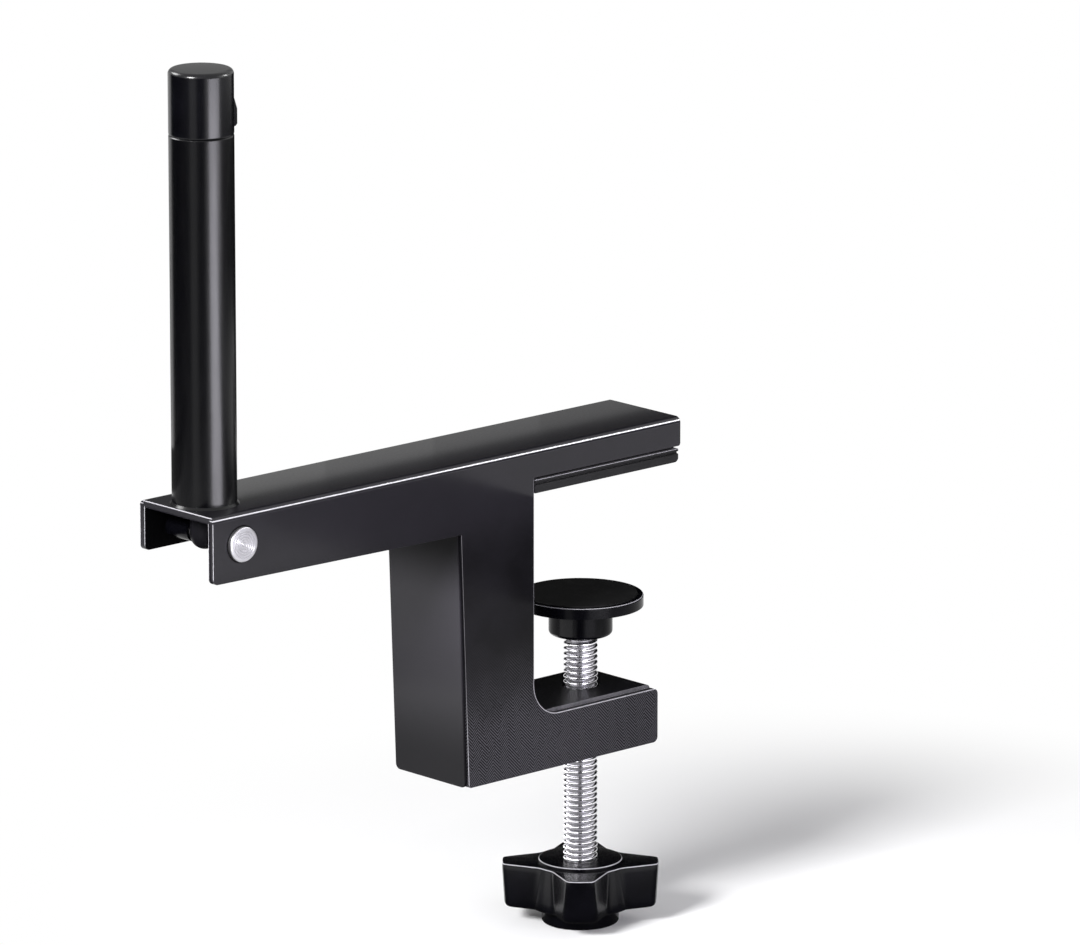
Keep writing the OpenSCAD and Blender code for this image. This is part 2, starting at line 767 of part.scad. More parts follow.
module knob_locknut() {
    color(dark_steel) difference() {
        translate([0, 0, locknut_top_z - locknut_height])
            cylinder(d = nut_flats / cos(30), h = locknut_height, $fn = 6);
        translate([0, 0, locknut_top_z - locknut_height - eps])
            cylinder(r = screw_r + fit_gap, h = locknut_height + 2 * eps);
    }
}

module knob_cover() {
    color(black_plastic) translate([0, 0, knob_bottom_z])
        cylinder(r = recess_r - fit_gap, h = cover_thickness);
}

bracket();
leg_back_plate();
throat_plate();
jaw_plate();
table_pad();
spindle_nut();
post_tube();
post_spigot();
cross_rivet();
rivet_spacers();
rivet_washer();
post_cap();
cap_grip_ring();
thrust_ball();
foot_plate();
foot_facing();
retaining_ring();
clamp_spindle();
spindle_tip();
knob_body();
knob_insert();
knob_locknut();
knob_cover();
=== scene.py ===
"""Finished surfaces, materials and studio for a table tennis net clamp.

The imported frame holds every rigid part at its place. This file gives those parts their rounded edges,
threads, turned faces and coatings, and sets them on a pale floor. Lengths are metres, as in the frame,
but the materials' patterns are laid out in millimetres.
"""

import math
from contextlib import contextmanager

import bmesh
import bpy
import numpy as np
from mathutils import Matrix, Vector


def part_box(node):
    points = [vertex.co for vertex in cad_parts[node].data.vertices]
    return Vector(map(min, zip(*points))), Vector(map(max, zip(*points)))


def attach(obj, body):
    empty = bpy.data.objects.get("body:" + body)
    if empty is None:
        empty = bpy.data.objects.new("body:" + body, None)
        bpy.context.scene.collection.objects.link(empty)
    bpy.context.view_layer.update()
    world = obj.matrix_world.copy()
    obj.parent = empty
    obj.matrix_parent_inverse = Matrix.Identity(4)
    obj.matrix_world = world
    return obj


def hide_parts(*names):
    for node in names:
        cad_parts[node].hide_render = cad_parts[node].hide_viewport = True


bl_info = {
    "name": "Net Clamp",
    "version": (1, 0, 0),
    "blender": (4, 5, 0),
    "location": "3D View > Sidebar > Net Clamp",
    "description": "Builds the finished surfaces of a table tennis net clamp around its frame",
    "category": "Add Mesh",
}

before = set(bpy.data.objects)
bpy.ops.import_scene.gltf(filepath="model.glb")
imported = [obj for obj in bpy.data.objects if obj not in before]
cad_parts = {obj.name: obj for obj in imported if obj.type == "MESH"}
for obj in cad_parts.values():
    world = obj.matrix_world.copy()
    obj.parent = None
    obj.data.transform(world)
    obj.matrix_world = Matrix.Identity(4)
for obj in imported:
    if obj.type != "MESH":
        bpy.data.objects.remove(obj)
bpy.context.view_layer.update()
MM = 0.001
TAU = 2 * math.pi


def low(node):
    """The lowest corner of a frame part's box."""
    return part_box(node)[0]


def high(node):
    """The highest corner of a frame part's box."""
    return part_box(node)[1]


def middle(node):
    """The middle of a frame part's box."""
    return (low(node) + high(node)) / 2


def half_width(node):
    """Half a frame part's width along X, which is the radius of a round one."""
    return (high(node).x - low(node).x) / 2


# ---------------------------------------------------------------- sizes and colours


def length(label, text, default, most=50 * MM):
    """A size in metres."""
    return bpy.props.FloatProperty(
        name=label, description=text, default=default, min=0, max=most, precision=5,
        subtype="DISTANCE", unit="LENGTH",
    )


def share(label, text, default):
    """A value between 0 and 1."""
    return bpy.props.FloatProperty(
        name=label, description=text, default=default, min=0, max=1, subtype="FACTOR"
    )


def degrees(label, text, default):
    """A turn, whose default is written in degrees."""
    return bpy.props.FloatProperty(
        name=label, description=text, default=math.radians(default), subtype="ANGLE"
    )


def amount(label, text, default, unit="NONE", least=0):
    """A value that has no upper limit."""
    return bpy.props.FloatProperty(name=label, description=text, default=default, min=least, unit=unit)


def colour(label, text, default):
    """A colour in linear light."""
    return bpy.props.FloatVectorProperty(
        name=label, description=text, default=default, min=0, max=1, size=3, subtype="COLOR"
    )


class ClampSizes(bpy.types.PropertyGroup):
    """Sizes of what the finished surfaces add to the frame's parts."""

    sheet: length("Sheet", "Thickness of the bracket's pressed sheet", 2.5 * MM)
    sheet_bend: length("Sheet bend", "Outside radius of the bracket's bends", 2.2 * MM)
    sheet_edge: length("Sheet edge", "Rounding of the pressed sheet's cut edges", 0.45 * MM)
    throat_fillet: length("Throat fillet", "Radius of the cheeks' inner corner in the throat", 12.0 * MM)
    throat_gap: length("Throat gap", "Distance from the cheeks' throat edge to the pad", 1.35 * MM)
    lower_depth: length("Lower arm depth", "Height of the lower arm's cheeks", 19.4 * MM)
    plate_edge: length("Plate edge", "Rounding of the welded plates' edges", 0.25 * MM)
    tube_edge: length("Tube edge", "Rounding of the post's edges", 0.2 * MM)
    cap_edge: length("Cap edge", "Rounding of the post cap's smaller edges", 0.3 * MM)
    pitch: length("Pitch", "Distance between two turns of the screw", 2.0 * MM)
    thread_depth: length("Thread depth", "Depth of the screw's thread", 1.15 * MM)
    knob_reach: length("Knob reach", "Radius of the knob over its lobes", 27.6 * MM)
    lobe_height: length("Lobe height", "Height of the knob's lobes", 15.8 * MM)
    lobe_half_width: length("Lobe half width", "Half the width of a lobe's tip at its top", 4.5 * MM)
    lobe_taper: share("Lobe taper", "How fast a lobe's side leaves its middle line towards the hub", 0.40)
    lobe_flare: length("Lobe flare", "Growth of a lobe's half width from its top to its bottom", 0.6 * MM)
    knob_draft: length("Knob draft", "How far the lobes' tips draw in from top to bottom", 0.9 * MM)
    hub_radius: length("Hub radius", "Radius of the knob's hub between the lobes, at the top", 17.2 * MM)
    hub_flare: length("Hub flare", "Growth of the hub's radius from its top to its bottom", 2.0 * MM)
    tip_softness: length("Tip softness", "Rounding of the corners at a lobe's tip", 1.6 * MM)
    crease_softness: length("Crease softness", "Rounding where a lobe leaves the hub", 1.0 * MM)
    knob_edge: length("Knob edge", "Rounding of the knob's upper edges", 0.5 * MM)
    knob_low_edge: length("Knob low edge", "Rounding of the knob's lower edges", 1.8 * MM)
    boss_radius: length("Boss radius", "Radius of the boss on top of the knob", 14.75 * MM)
    boss_height: length("Boss height", "Height of the upper boss above the lobes", 1.1 * MM)
    low_boss_radius: length("Low boss radius", "Radius of the boss under the knob", 13.6 * MM)
    boss_edge: length("Boss edge", "Rounding of the bosses' edges", 0.5 * MM)
    foot_edge: length("Foot edge", "Rounding of the foot's edges", 0.35 * MM)
    pad_edge: length("Pad edge", "Rounding of the rubber pad's edges", 0.25 * MM)
    pad_nose: length("Pad nose", "Rounding under the pad's free end", 2.0 * MM)
    groove_width: length("Groove width", "Width of a groove under the pad", 1.6 * MM)
    groove_depth: length("Groove depth", "Depth of a groove under the pad", 0.8 * MM)
    pad_lip: length("Pad lip", "Height of the pad's edge above its side groove", 1.0 * MM)
    side_groove: length("Side groove", "Width and depth of the groove along the pad's side", 0.8 * MM)


class ClampFinish(bpy.types.PropertyGroup):
    """Colours and gloss of the clamp's materials."""

    coat: colour("Powder coat", "Colour of the bracket's powder coat", (0.0085, 0.0079, 0.0102))
    coat_ridge: colour("Coat ridges", "Colour of the coat's raised lines", (0.060, 0.058, 0.067))
    # Painted highlight, laid on as rubbed coat along the bracket's edges and the throat plate's edges.
    coat_edge_highlight: colour("Coat wear", "Colour of the coat where its edges are rubbed", (0.42, 0.41, 0.44))
    coat_roughness: share("Coat roughness", "Roughness of the bracket's powder coat", 0.38)
    # Darker than the powder coat, as painted shade on the plates between the cheeks.
    inner_coat: colour("Inner coat", "Colour of the coat on the inner plates", (0.0040, 0.0038, 0.0050))
    post: colour("Post coat", "Colour of the post's smooth coat", (0.0008, 0.0008, 0.0012))
    post_roughness: share("Post roughness", "Roughness of the post's smooth coat", 0.25)
    plastic: colour("Plastic", "Colour of the moulded black parts", (0.0010, 0.0010, 0.0016))
    # Painted highlight, laid on as rubbed colour along the knob's and foot's upper rims and the pad's
    # lip.
    plastic_edge_highlight: colour("Plastic wear", "Colour of the moulded parts' rubbed edges", (0.36, 0.355, 0.38))
    plastic_roughness: share("Plastic roughness", "Roughness of the moulded black parts", 0.19)
    rubber: colour("Rubber", "Colour of the pad and the foot's facing", (0.006, 0.0058, 0.0070))
    rubber_roughness: share("Rubber roughness", "Roughness of the rubber", 0.62)
    zinc: colour("Bright zinc", "Colour of the plated screw and rivet", (0.90, 0.89, 0.93))
    zinc_roughness: share("Zinc roughness", "Roughness of the plated steel", 0.17)
    # Colour that darkens the thread's root.
    thread_root_colour: colour("Grease", "Colour of the grease in the thread's root", (0.05, 0.049, 0.053))
    steel: colour("Plain steel", "Colour of the inner steel parts", (0.42, 0.42, 0.45))
    steel_roughness: share("Steel roughness", "Roughness of the inner steel parts", 0.42)


class StudioSettings(bpy.types.PropertyGroup):
    """Camera, floor and lamps."""

    azimuth: degrees("Azimuth", "Camera's turn about the vertical", -42.86)
    elevation: degrees("Elevation", "Camera's height above the horizon", 13.77)
    aim: bpy.props.FloatVectorProperty(
        name="Aim", description="Point in the middle of the view",
        default=(-14.4 * MM, 5.3 * MM, -0.6 * MM), precision=5, subtype="TRANSLATION", unit="LENGTH",
    )
    distance: length("Distance", "Distance from the camera to the aim", 3.17, most=20)
    lens: amount("Lens", "Focal length in millimetres", 304.5, "CAMERA", 10)
    floor: colour("Floor", "Colour of the studio floor", (0.93, 0.93, 0.935))
    world_strength: amount("World", "Strength of the world's light", 0.27)
    key_watts: amount("Key", "Power of the soft lamp on the left", 35.5, "POWER")
    strip_watts: amount("Strip", "Power of the strip beside the post's foot", 3.5, "POWER")
    side_watts: amount("Side", "Power of the soft box on the right", 2.4, "POWER")


# ---------------------------------------------------------------- surfaces


def unit(vectors):
    """Rows of an array scaled to length 1; rows of length 0 stay."""
    size = np.linalg.norm(vectors, axis=-1, keepdims=True)
    return vectors / np.where(size > 0, size, 1)


def softened(path, radii, steps=6, closed=False):
    """A path of corners with each corner as an arc that touches both its edges.

    An arc of radius r leaves each edge at r / tan(half) from the corner, where half is half the angle
    between the edges, and its centre lies r / sin(half) along their middle line. A corner without a
    radius stays as one point.
    """
    path = np.asarray(path, float)
    radii = np.broadcast_to(np.asarray(radii, float), len(path)).copy()
    back = unit(np.roll(path, 1, 0) - path)
    ahead = unit(np.roll(path, -1, 0) - path)
    if not closed:
        radii[[0, -1]] = 0
    half = np.arccos(np.clip((back * ahead).sum(1), -1, 1)) / 2
    straight = half > math.radians(89.9)
    radii[straight] = 0
    half[radii == 0] = math.pi / 4
    reach = (radii / np.tan(half))[:, None]
    centre = path + unit(back + ahead) * (radii / np.sin(half))[:, None]
    start, end = path + back * reach - centre, path + ahead * reach - centre
    first = np.arctan2(start[:, 1], start[:, 0])
    turn = (np.arctan2(end[:, 1], end[:, 0]) - first + 3 * math.pi) % TAU - math.pi
    angle = first[:, None] + turn[:, None] * np.linspace(0, 1, steps + 1)
    arcs = centre[:, None] + radii[:, None, None] * np.stack([np.cos(angle), np.sin(angle)], -1)
    kept = np.repeat(radii[:, None] > 0, steps + 1, axis=1)
    kept[:, 0] = True
    return arcs[kept]


def soft_minimum(first, second, softness):
    """The lesser of two values, with a round corner where they cross.

    Within softness of equal, the share of the second is a half plus their difference over twice the
    softness, and the blend of the two by that share is lowered by softness * share * (1 - share).
    """
    share_of_second = np.clip(0.5 + (first - second) / (2 * softness), 0, 1)
    blend = first * (1 - share_of_second) + second * share_of_second
    return blend - softness * share_of_second * (1 - share_of_second)


def mesh_from_grid(name, grid, wrap_rows=False, wrap_columns=True, shift=0):
    """A closed mesh from a grid of points, a quad for each cell.

    The last column joins the first one, shift rows further on, as a thread does after one turn. Points
    that coincide, as at a pole, are merged, and faces are turned outwards.
    """
    rows, columns = grid.shape[:2]
    index = np.arange(rows * columns).reshape(rows, columns)
    if wrap_columns:
        index = np.column_stack([index[: rows - shift], index[shift:, 0]])
    if wrap_rows:
        index = np.vstack([index, index[:1]])
    quads = np.stack([index[:-1, :-1], index[1:, :-1], index[1:, 1:], index[:-1, 1:]], -1).reshape(-1, 4)
    mesh = bpy.data.meshes.new(name)
    mesh.from_pydata(grid.reshape(-1, 3), [], quads)
    clean(mesh)
    return placed(name, mesh)


def placed(name, data):
    """A new object in the scene."""
    piece = bpy.data.objects.new(name, data)
    bpy.context.scene.collection.objects.link(piece)
    return piece


@contextmanager
def editing(mesh):
    """An editable copy of a mesh, which is written back at the end."""
    work = bmesh.new()
    work.from_mesh(mesh)
    yield work
    work.to_mesh(mesh)
    work.free()


def clean(mesh, merge=1e-7):
    """Merges doubles, drops what they leave without area or use, and turns the faces outwards."""
    with editing(mesh) as work:
        bmesh.ops.remove_doubles(work, verts=work.verts, dist=merge)
        bmesh.ops.dissolve_degenerate(work, edges=work.edges, dist=merge)
        loose = [vertex for vertex in work.verts if not vertex.link_faces]
        bmesh.ops.delete(work, geom=loose, context="VERTS")
        bmesh.ops.recalc_face_normals(work, faces=work.faces)


def turned(profile, centre, sides, axis="Z"):
    """Points of a profile of [radius, height] turned about an upright axis, or one along Y.

    A point at turn t has the two cross coordinates radius * cos(t) and radius * sin(t), and the height
    along the axis.
    """
    turn = np.linspace(0, TAU, sides, endpoint=False)
    radius, height = np.asarray(profile, float).T
    across = radius[:, None] * np.cos(turn)
    aside = radius[:, None] * np.sin(turn)
    along = np.broadcast_to(height[:, None], across.shape)
    order = {"Y": (across, along, aside), "Z": (across, aside, along)}[axis]
    return np.stack(order, -1) + np.array(centre)


def swept(section, stations, insets):
    """Points of a closed section of [y, z] carried along X, drawn in by an inset at each station.

    Drawing in moves each point towards the inside along the section's normal, which rounds the ends.
    """
    tangent = unit(np.roll(section, -1, 0) - np.roll(section, 1, 0))
    inward = np.stack([-tangent[:, 1], tangent[:, 0]], -1)
    ring = section[None] + np.asarray(insets)[:, None, None] * inward[None]
    along = np.broadcast_to(np.asarray(stations)[:, None], ring.shape[:2])
    return np.concatenate([along[..., None], ring], -1)


def smooth(piece, angle=35):
    """Smooth shading, with edges sharper than the angle left crisp."""
    mesh = piece.data
    mesh.polygons.foreach_set("use_smooth", np.ones(len(mesh.polygons), bool))
    mesh.set_sharp_from_angle(angle=math.radians(angle))


def coat_with(piece, surface):
    """Makes a material the only one of a piece."""
    piece.data.materials.clear()
    piece.data.materials.append(surface)


def finish_piece(piece, body, slot, surface, *nodes):
    """Gives a finished piece its material and its body, and hides the frame parts that it replaces.

    The slot is not used.
    """
    coat_with(piece, surface)
    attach(piece, body)
    if nodes:
        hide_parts(*nodes)


def rounded_part(node, name, edge):
    """A copy of a frame part with its flat faces made whole, and its sharper edges rounded."""
    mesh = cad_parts[node].data.copy()
    mesh.name = name
    clean(mesh, merge=1e-6)
    flat, sharp = math.radians(0.2), math.radians(25)
    with editing(mesh) as work:
        bmesh.ops.dissolve_limit(work, angle_limit=flat, verts=work.verts, edges=work.edges)
    piece = placed(name, mesh)
    mesh.polygons.foreach_set("use_smooth", np.ones(len(mesh.polygons), bool))
    bevel = piece.modifiers.new("rounding", "BEVEL")
    bevel.width = edge
    bevel.segments = 3
    bevel.limit_method = "ANGLE"
    bevel.angle_limit = sharp
    bevel.harden_normals = True
    weights = piece.modifiers.new("even_normals", "WEIGHTED_NORMAL")
    weights.keep_sharp = True
    return piece


# ---------------------------------------------------------------- materials


class Socket:
    """A shader value that can be written in sums and products; each operator adds a Math node."""

    def __init__(self, nodes, socket):
        self.nodes = nodes
        self.socket = socket

    def math(self, operation, *others):
        """Any Math node with this value in its first socket."""
        return self.nodes.node("Math", {"operation": operation}, dict(enumerate((self, *others))))

    def __add__(self, other):
        return self.math("ADD", other)

    def __sub__(self, other):
        return self.math("SUBTRACT", other)

    def __rsub__(self, other):
        return self.nodes.node("Math", {"operation": "SUBTRACT"}, {0: other, 1: self})

    def __mul__(self, other):
        return self.math("MULTIPLY", other)

    __radd__ = __add__
    __rmul__ = __mul__

    def wave(self, period):
        """A sine of the value, one cycle for each period."""
        return (self * (TAU / period)).math("SINE")


def greatest(first, *others):
    """The greatest of several values."""
    for other in others:
        first = first.math("MAXIMUM", other)
    return first


def distance(across, aside):
    """The distance to a point from its two cross lengths: the root of the sum of their squares."""
    return (across * across + aside * aside).math("SQRT")


class Nodes:
    """The nodes of a material or a world, added one call at a time."""

    def __init__(self, tree):
        self.tree = tree

    def node(self, kind, settings=None, inputs=None, output=0):
        """Adds any shader node: its settings first, then the values or links of its sockets."""
        added = self.tree.nodes.new("ShaderNode" + kind)
        for name, value in (settings or {}).items():
            setattr(added, name, value)
        for name, value in (inputs or {}).items():
            self.feed(added.inputs[name], value)
        return Socket(self, added.outputs[output])

    def feed(self, socket, value):
        """Links a socket, or sets its value."""
        if isinstance(value, Socket):
            self.tree.links.new(value.socket, socket)
        elif socket.type == "RGBA" and len(value) == 3:
            socket.default_value = (*value, 1)
        else:
            socket.default_value = value

    def seen(self):
        """1 on the rays that lens, gloss and glass see by, and 0 on the rays that light things."""
        kinds = ("Camera", "Glossy", "Transmission")
        return greatest(*[self.node("LightPath", output=f"Is {kind} Ray") for kind in kinds])

    def show(self, output, factor, first, second):
        """Gives the output node the first shader where the factor is 0 and the second where it is 1."""
        mixed = self.node("MixShader", {}, {0: factor, 1: first, 2: second})
        self.feed(self.tree.nodes[output].inputs["Surface"], mixed)


class Finish(Nodes):
    """A material with one main shader."""

    def __init__(self, name):
        self.material = bpy.data.materials.new(name)
        self.material.use_nodes = True
        super().__init__(self.material.node_tree)
        self.shader = self.tree.nodes["Principled BSDF"]

    def set(self, **inputs):
        """Feeds the main shader's sockets; an underscore stands for a space in their names."""
        for name, value in inputs.items():
            self.feed(self.shader.inputs[name.replace("_", " ")], value)

    def place(self, centre=(0, 0, 0)):
        """Object coordinates in millimetres about a centre."""
        raw = self.node("TexCoord", output="Object")
        moved = self.node("VectorMath", {"operation": "SUBTRACT"}, {0: raw, 1: tuple(centre)})
        return self.node("VectorMath", {"operation": "SCALE"}, {0: moved, "Scale": 1 / MM})

    def axes(self, place):
        """The x, y and z of a vector as three values."""
        split = self.node("SeparateXYZ", {}, {0: place}).socket.node
        return [Socket(self, output) for output in split.outputs]

    def noise(self, place, scale, detail, roughness=0.5):
        """Soft random values around a half; scale is in cells per millimetre."""
        inputs = {"Vector": place, "Scale": scale, "Detail": detail, "Roughness": roughness}
        return self.node("TexNoise", {}, inputs, output="Fac")

    def fade(self, value, start, end):
        """0 before start and 1 past end, with a soft change between them."""
        inputs = {"Value": value, "From Min": start, "From Max": end}
        return self.node("MapRange", {"interpolation_type": "SMOOTHSTEP"}, inputs)

    def until(self, value, start, end):
        """1 before start and 0 past end, with a soft change between them."""
        return 1 - self.fade(value, start, end)

    def band(self, value, start, end, soft):
        """1 between start and end, with soft borders outside them, and 0 elsewhere."""
        return self.fade(value, start - soft, start) * self.until(value, end, end + soft)

    def blend(self, mask, first, second):
        """The first colour where the mask is 0 and the second where it is 1."""
        factor, first_colour, second_colour = 0, 6, 7  # the Mix node's sockets for colours
        inputs = {factor: mask, first_colour: first, second_colour: second}
        return self.node("Mix", {"data_type": "RGBA"}, inputs, output=2)

    def bump(self, height, depth, strength, normal=None):
        """A bumped normal; depth is in millimetres for a height of 1."""
        inputs = {"Height": height, "Distance": depth * MM, "Strength": strength}
        if normal is not None:
            inputs["Normal"] = normal
        return self.node("Bump", {}, inputs)


def shade(base, factor):
    """A colour made lighter or darker."""
    return tuple(min(1.0, part * factor) for part in base)


def powder(coat, place, roughness):
    """A powder coat's grain, its roughness and its bump, with a soft orange peel under the grain."""
    peel = coat.noise(place, 1.1, 2.0)
    grain = coat.noise(place, 6.0, 1.0)
    bump = coat.bump(peel, 0.02, 0.5, coat.bump(grain, 0.004, 0.5))
    return grain, roughness - 0.05 + 0.10 * peel, bump


def crossed_lines(coat, place, grain):
    """Raised lines that run up and down the leg's lower part at 45 degrees.

    Each set is a sine of across + z or across - z, where across is x + y, cut off below 0.1. The two
    sets take turns in upright bands, whose borders wander with a wide noise.
    """
    pitch, band_width, drift = 1.12, 7.0, 14.0
    x, y, z = coat.axes(place)
    across = x + y
    turned_band = coat.fade((across + coat.noise(place, 0.07, 2.0) * drift).wave(band_width), -0.06, 0.06)
    lines = (across + z).wave(pitch) * turned_band + (across - z).wave(pitch) * (1 - turned_band)
    lower = coat.fade(z + coat.noise(place, 0.05, 2.0) * 26, -36.0, -70.0)
    return coat.fade(lines, 0.1, 0.7) * (0.3 + 0.9 * grain) * lower


def throat_highlight_line(coat, place, sizes):
    """A fine painted highlight line on the cheeks' outer faces, just inside the throat's edge.

    The edge is two straight lines joined by a fillet. A point lies into the sheet by its distance from
    the fillet's centre less the fillet, where a cross length that points away from the corner counts
    as 0.
    """
    x, y, z = coat.axes(place)
    fillet = sizes.throat_fillet / MM
    aside = (x - (low("table_pad").x - sizes.throat_gap) / MM - fillet).math("MINIMUM", 0.0)
    below = (z - (low("bracket").z + sizes.lower_depth) / MM - fillet).math("MINIMUM", 0.0)
    outer = high("bracket").y / MM
    line = coat.band(distance(aside, below) - fillet, 0.06, 0.26, 0.08)
    outer_face = coat.fade(y.math("ABSOLUTE"), outer - 0.5, outer - 0.4)
    under_arm = coat.until(z, 4.5, 5.5)
    # The painted highlight is brighter on the lower arm.
    brightness = 0.16 + 0.40 * coat.fade(z, -62.0, -68.0)
    return line * outer_face * under_arm * brightness


def painted_edge_highlights(coat, place, sizes):
    """Painted highlights along the bracket's bends, its cut edges and its free end, laid on as pale
    rubbed coat.
    """
    x, y, z = coat.axes(place)
    side = y.math("ABSOLUTE")
    outer, top, free_end = high("bracket").y / MM, high("bracket").z / MM, low("bracket").x / MM
    inner = outer - sizes.sheet / MM
    edge, bend = sizes.sheet_edge / MM, sizes.sheet_bend / MM
    outer_rim = coat.band(side, outer - 0.5 * edge, outer - 0.04 * edge, 0.03 * edge)
    inner_rim = coat.band(side, inner + 0.04 * edge, inner + 0.5 * edge, 0.03 * edge)
    rims = greatest(outer_rim, inner_rim) * coat.until(z, top - bend, top - bend + 0.2)
    bends = coat.band(z, top - 0.58 * bend, top - 0.46 * bend, 0.08)
    bends = bends * coat.fade(side, outer - bend, outer - 0.5 * bend)
    end_rim = coat.band(z, top - 0.8 * edge, top - 0.15 * edge, 0.1 * edge)
    end_rim = end_rim * coat.until(x, free_end + edge, free_end + 1.3 * edge)
    # Only edges that face up get the painted highlight.
    facing_up = coat.axes(coat.node("TexCoord", output="Normal"))[2]
    uneven = 0.6 + 0.6 * coat.noise(place, 0.6, 3.0)
    leg_back = low("leg_back_plate").x / MM
    # Less painted highlight where the leg's back edge is in shade.
    in_leg_shade = 0.8 * (coat.until(x, leg_back + 3, leg_back + 5) * coat.until(z, -6.0, -4.0))
    edge_highlight = greatest(rims, bends, end_rim) * coat.fade(facing_up, -0.35, 0.05) * uneven * (1 - in_leg_shade)
    return greatest(edge_highlight, throat_highlight_line(coat, place, sizes) * uneven)


def bracket_coat(coat, finish, sizes, rivet, head):
    """Satin powder coat of the pressed bracket, with raised lines on the leg and painted edge highlights.

    Inside the channel it has painted shade and no clear coat, round the rivet a painted black shadow
    ring, and down the leg painted shade and less gloss.
    """
    place = coat.place()
    x, y, z = coat.axes(place)
    inner = high("bracket").y / MM - sizes.sheet / MM
    roof = high("bracket").z / MM - sizes.sheet / MM
    grain, roughness, bump = powder(coat, place, finish.coat_roughness)
    ridge = crossed_lines(coat, place, grain)
    edge_highlight = painted_edge_highlights(coat, place, sizes)
    inside = coat.until(y.math("ABSOLUTE"), inner, inner + 0.05) * coat.until(z, roof, roof + 0.05)
    from_rivet = distance(x - rivet.x / MM, z - rivet.z / MM)
    # Painted shade inside the channel, and a painted shadow ring round the rivet's head.
    dark = greatest(inside, coat.until(from_rivet, head / MM + 0.35, head / MM + 0.6))
    clouds = coat.fade(coat.noise(place, 0.035, 3.0), 0.3, 0.75) * 0.35
    # Painted shade down the leg, which is also duller.
    down_leg = coat.fade(z, 0.0, -22.0)
    tint = coat.blend(down_leg, finish.coat, shade(finish.coat, 0.28))
    plain = coat.blend(ridge, coat.blend(clouds, tint, shade(finish.coat, 1.5)), finish.coat_ridge)
    coat.set(
        Base_Color=coat.blend(dark, coat.blend(edge_highlight, plain, finish.coat_edge_highlight), shade(finish.coat, 0.12)),
        Roughness=roughness - 0.12 * edge_highlight,
        Specular_IOR_Level=0.06,
        Coat_Weight=(0.55 - 0.51 * down_leg + 0.4 * edge_highlight) * (1 - dark),
        Coat_Roughness=0.17,
        Normal=coat.bump(ridge, 0.05, 1.0, bump),
    )


def back_coat(coat, finish):
    """Satin powder coat of the leg's back plate.

    It is plain, with painted shade in the seams along the cheeks and a painted shadow of the arm at its
    top.
    Below that it is painted lighter, then darker towards its lower end, and it is duller at its top and
    towards its lower end.
    """
    place = coat.place()
    _, y, z = coat.axes(place)
    _, roughness, bump = powder(coat, place, finish.coat_roughness)
    outer = high("bracket").y / MM
    # Painted shade in the seams along the cheeks.
    gap = coat.fade(y.math("ABSOLUTE"), outer - 1.2, outer - 0.8)
    # Under the arm the plate's top is darker, a painted shadow of the arm.
    shown = coat.fade(z, -11.0, -34.0)
    # Painted light below the arm's shadow, and painted shade towards the lower end.
    painted_light_falloff = coat.blend(coat.fade(z, -34.0, -94.0), shade(finish.coat, 2.4), shade(finish.coat, 0.5))
    tint = coat.blend(shown, shade(finish.coat, 0.3), painted_light_falloff)
    coat.set(
        Base_Color=coat.blend(gap, tint, shade(finish.coat, 0.1)),
        Roughness=roughness,
        Specular_IOR_Level=0.06,
        Coat_Weight=(0.03 + 0.55 * shown - 0.55 * coat.fade(z, -36.0, -92.0)) * (1 - gap),
        Coat_Roughness=0.25,
        Normal=bump,
    )


def inner_coat(coat, finish, gloss=0.12, width=None):
    """The plainer coat of the plates between the cheeks, painted darker than the bracket's as shade.

    On a plate of a given width, in metres, the long edges get a painted highlight.
    """
    place = coat.place()
    _, roughness, bump = powder(coat, place, finish.coat_roughness)
    clouds = coat.fade(coat.noise(place, 0.035, 3.0), 0.3, 0.8)
    # The dark colour is painted shade; its clouds are random tone.
    tint = coat.blend(clouds, finish.inner_coat, shade(finish.inner_coat, 2.2))
    if width is not None:
        side = coat.axes(place)[1].math("ABSOLUTE")
        # Painted highlight along the plate's long edges.
        painted_rim_highlight = coat.fade(side, width / 2 / MM - 0.35, width / 2 / MM - 0.2)
        tint = coat.blend(painted_rim_highlight * (0.06 + 0.24 * coat.noise(place, 0.6, 3.0)), tint, finish.coat_edge_highlight)
    coat.set(Base_Color=tint, Roughness=roughness, Specular_IOR_Level=gloss, Normal=bump)


def smooth_coat(coat, finish):
    """The post's smooth coat: nearly even, with long soft ripples along the tube."""
    place = coat.place()
    x, y, z = coat.axes(place)
    stretched = coat.node("CombineXYZ", {}, {0: x, 1: y, 2: z * 0.12})
    ripple = coat.noise(stretched, 0.6, 1.0)
    grain = coat.noise(place, 5.0, 1.0)
    coat.set(
        Base_Color=coat.blend(coat.fade(grain, 0.45, 0.8), finish.post, shade(finish.post, 1.9)),
        Roughness=finish.post_roughness - 0.04 + 0.08 * ripple,
        Specular_IOR_Level=0.31,
        Normal=coat.bump(grain, 0.003, 0.5, coat.bump(ripple, 0.02, 0.3)),
    )


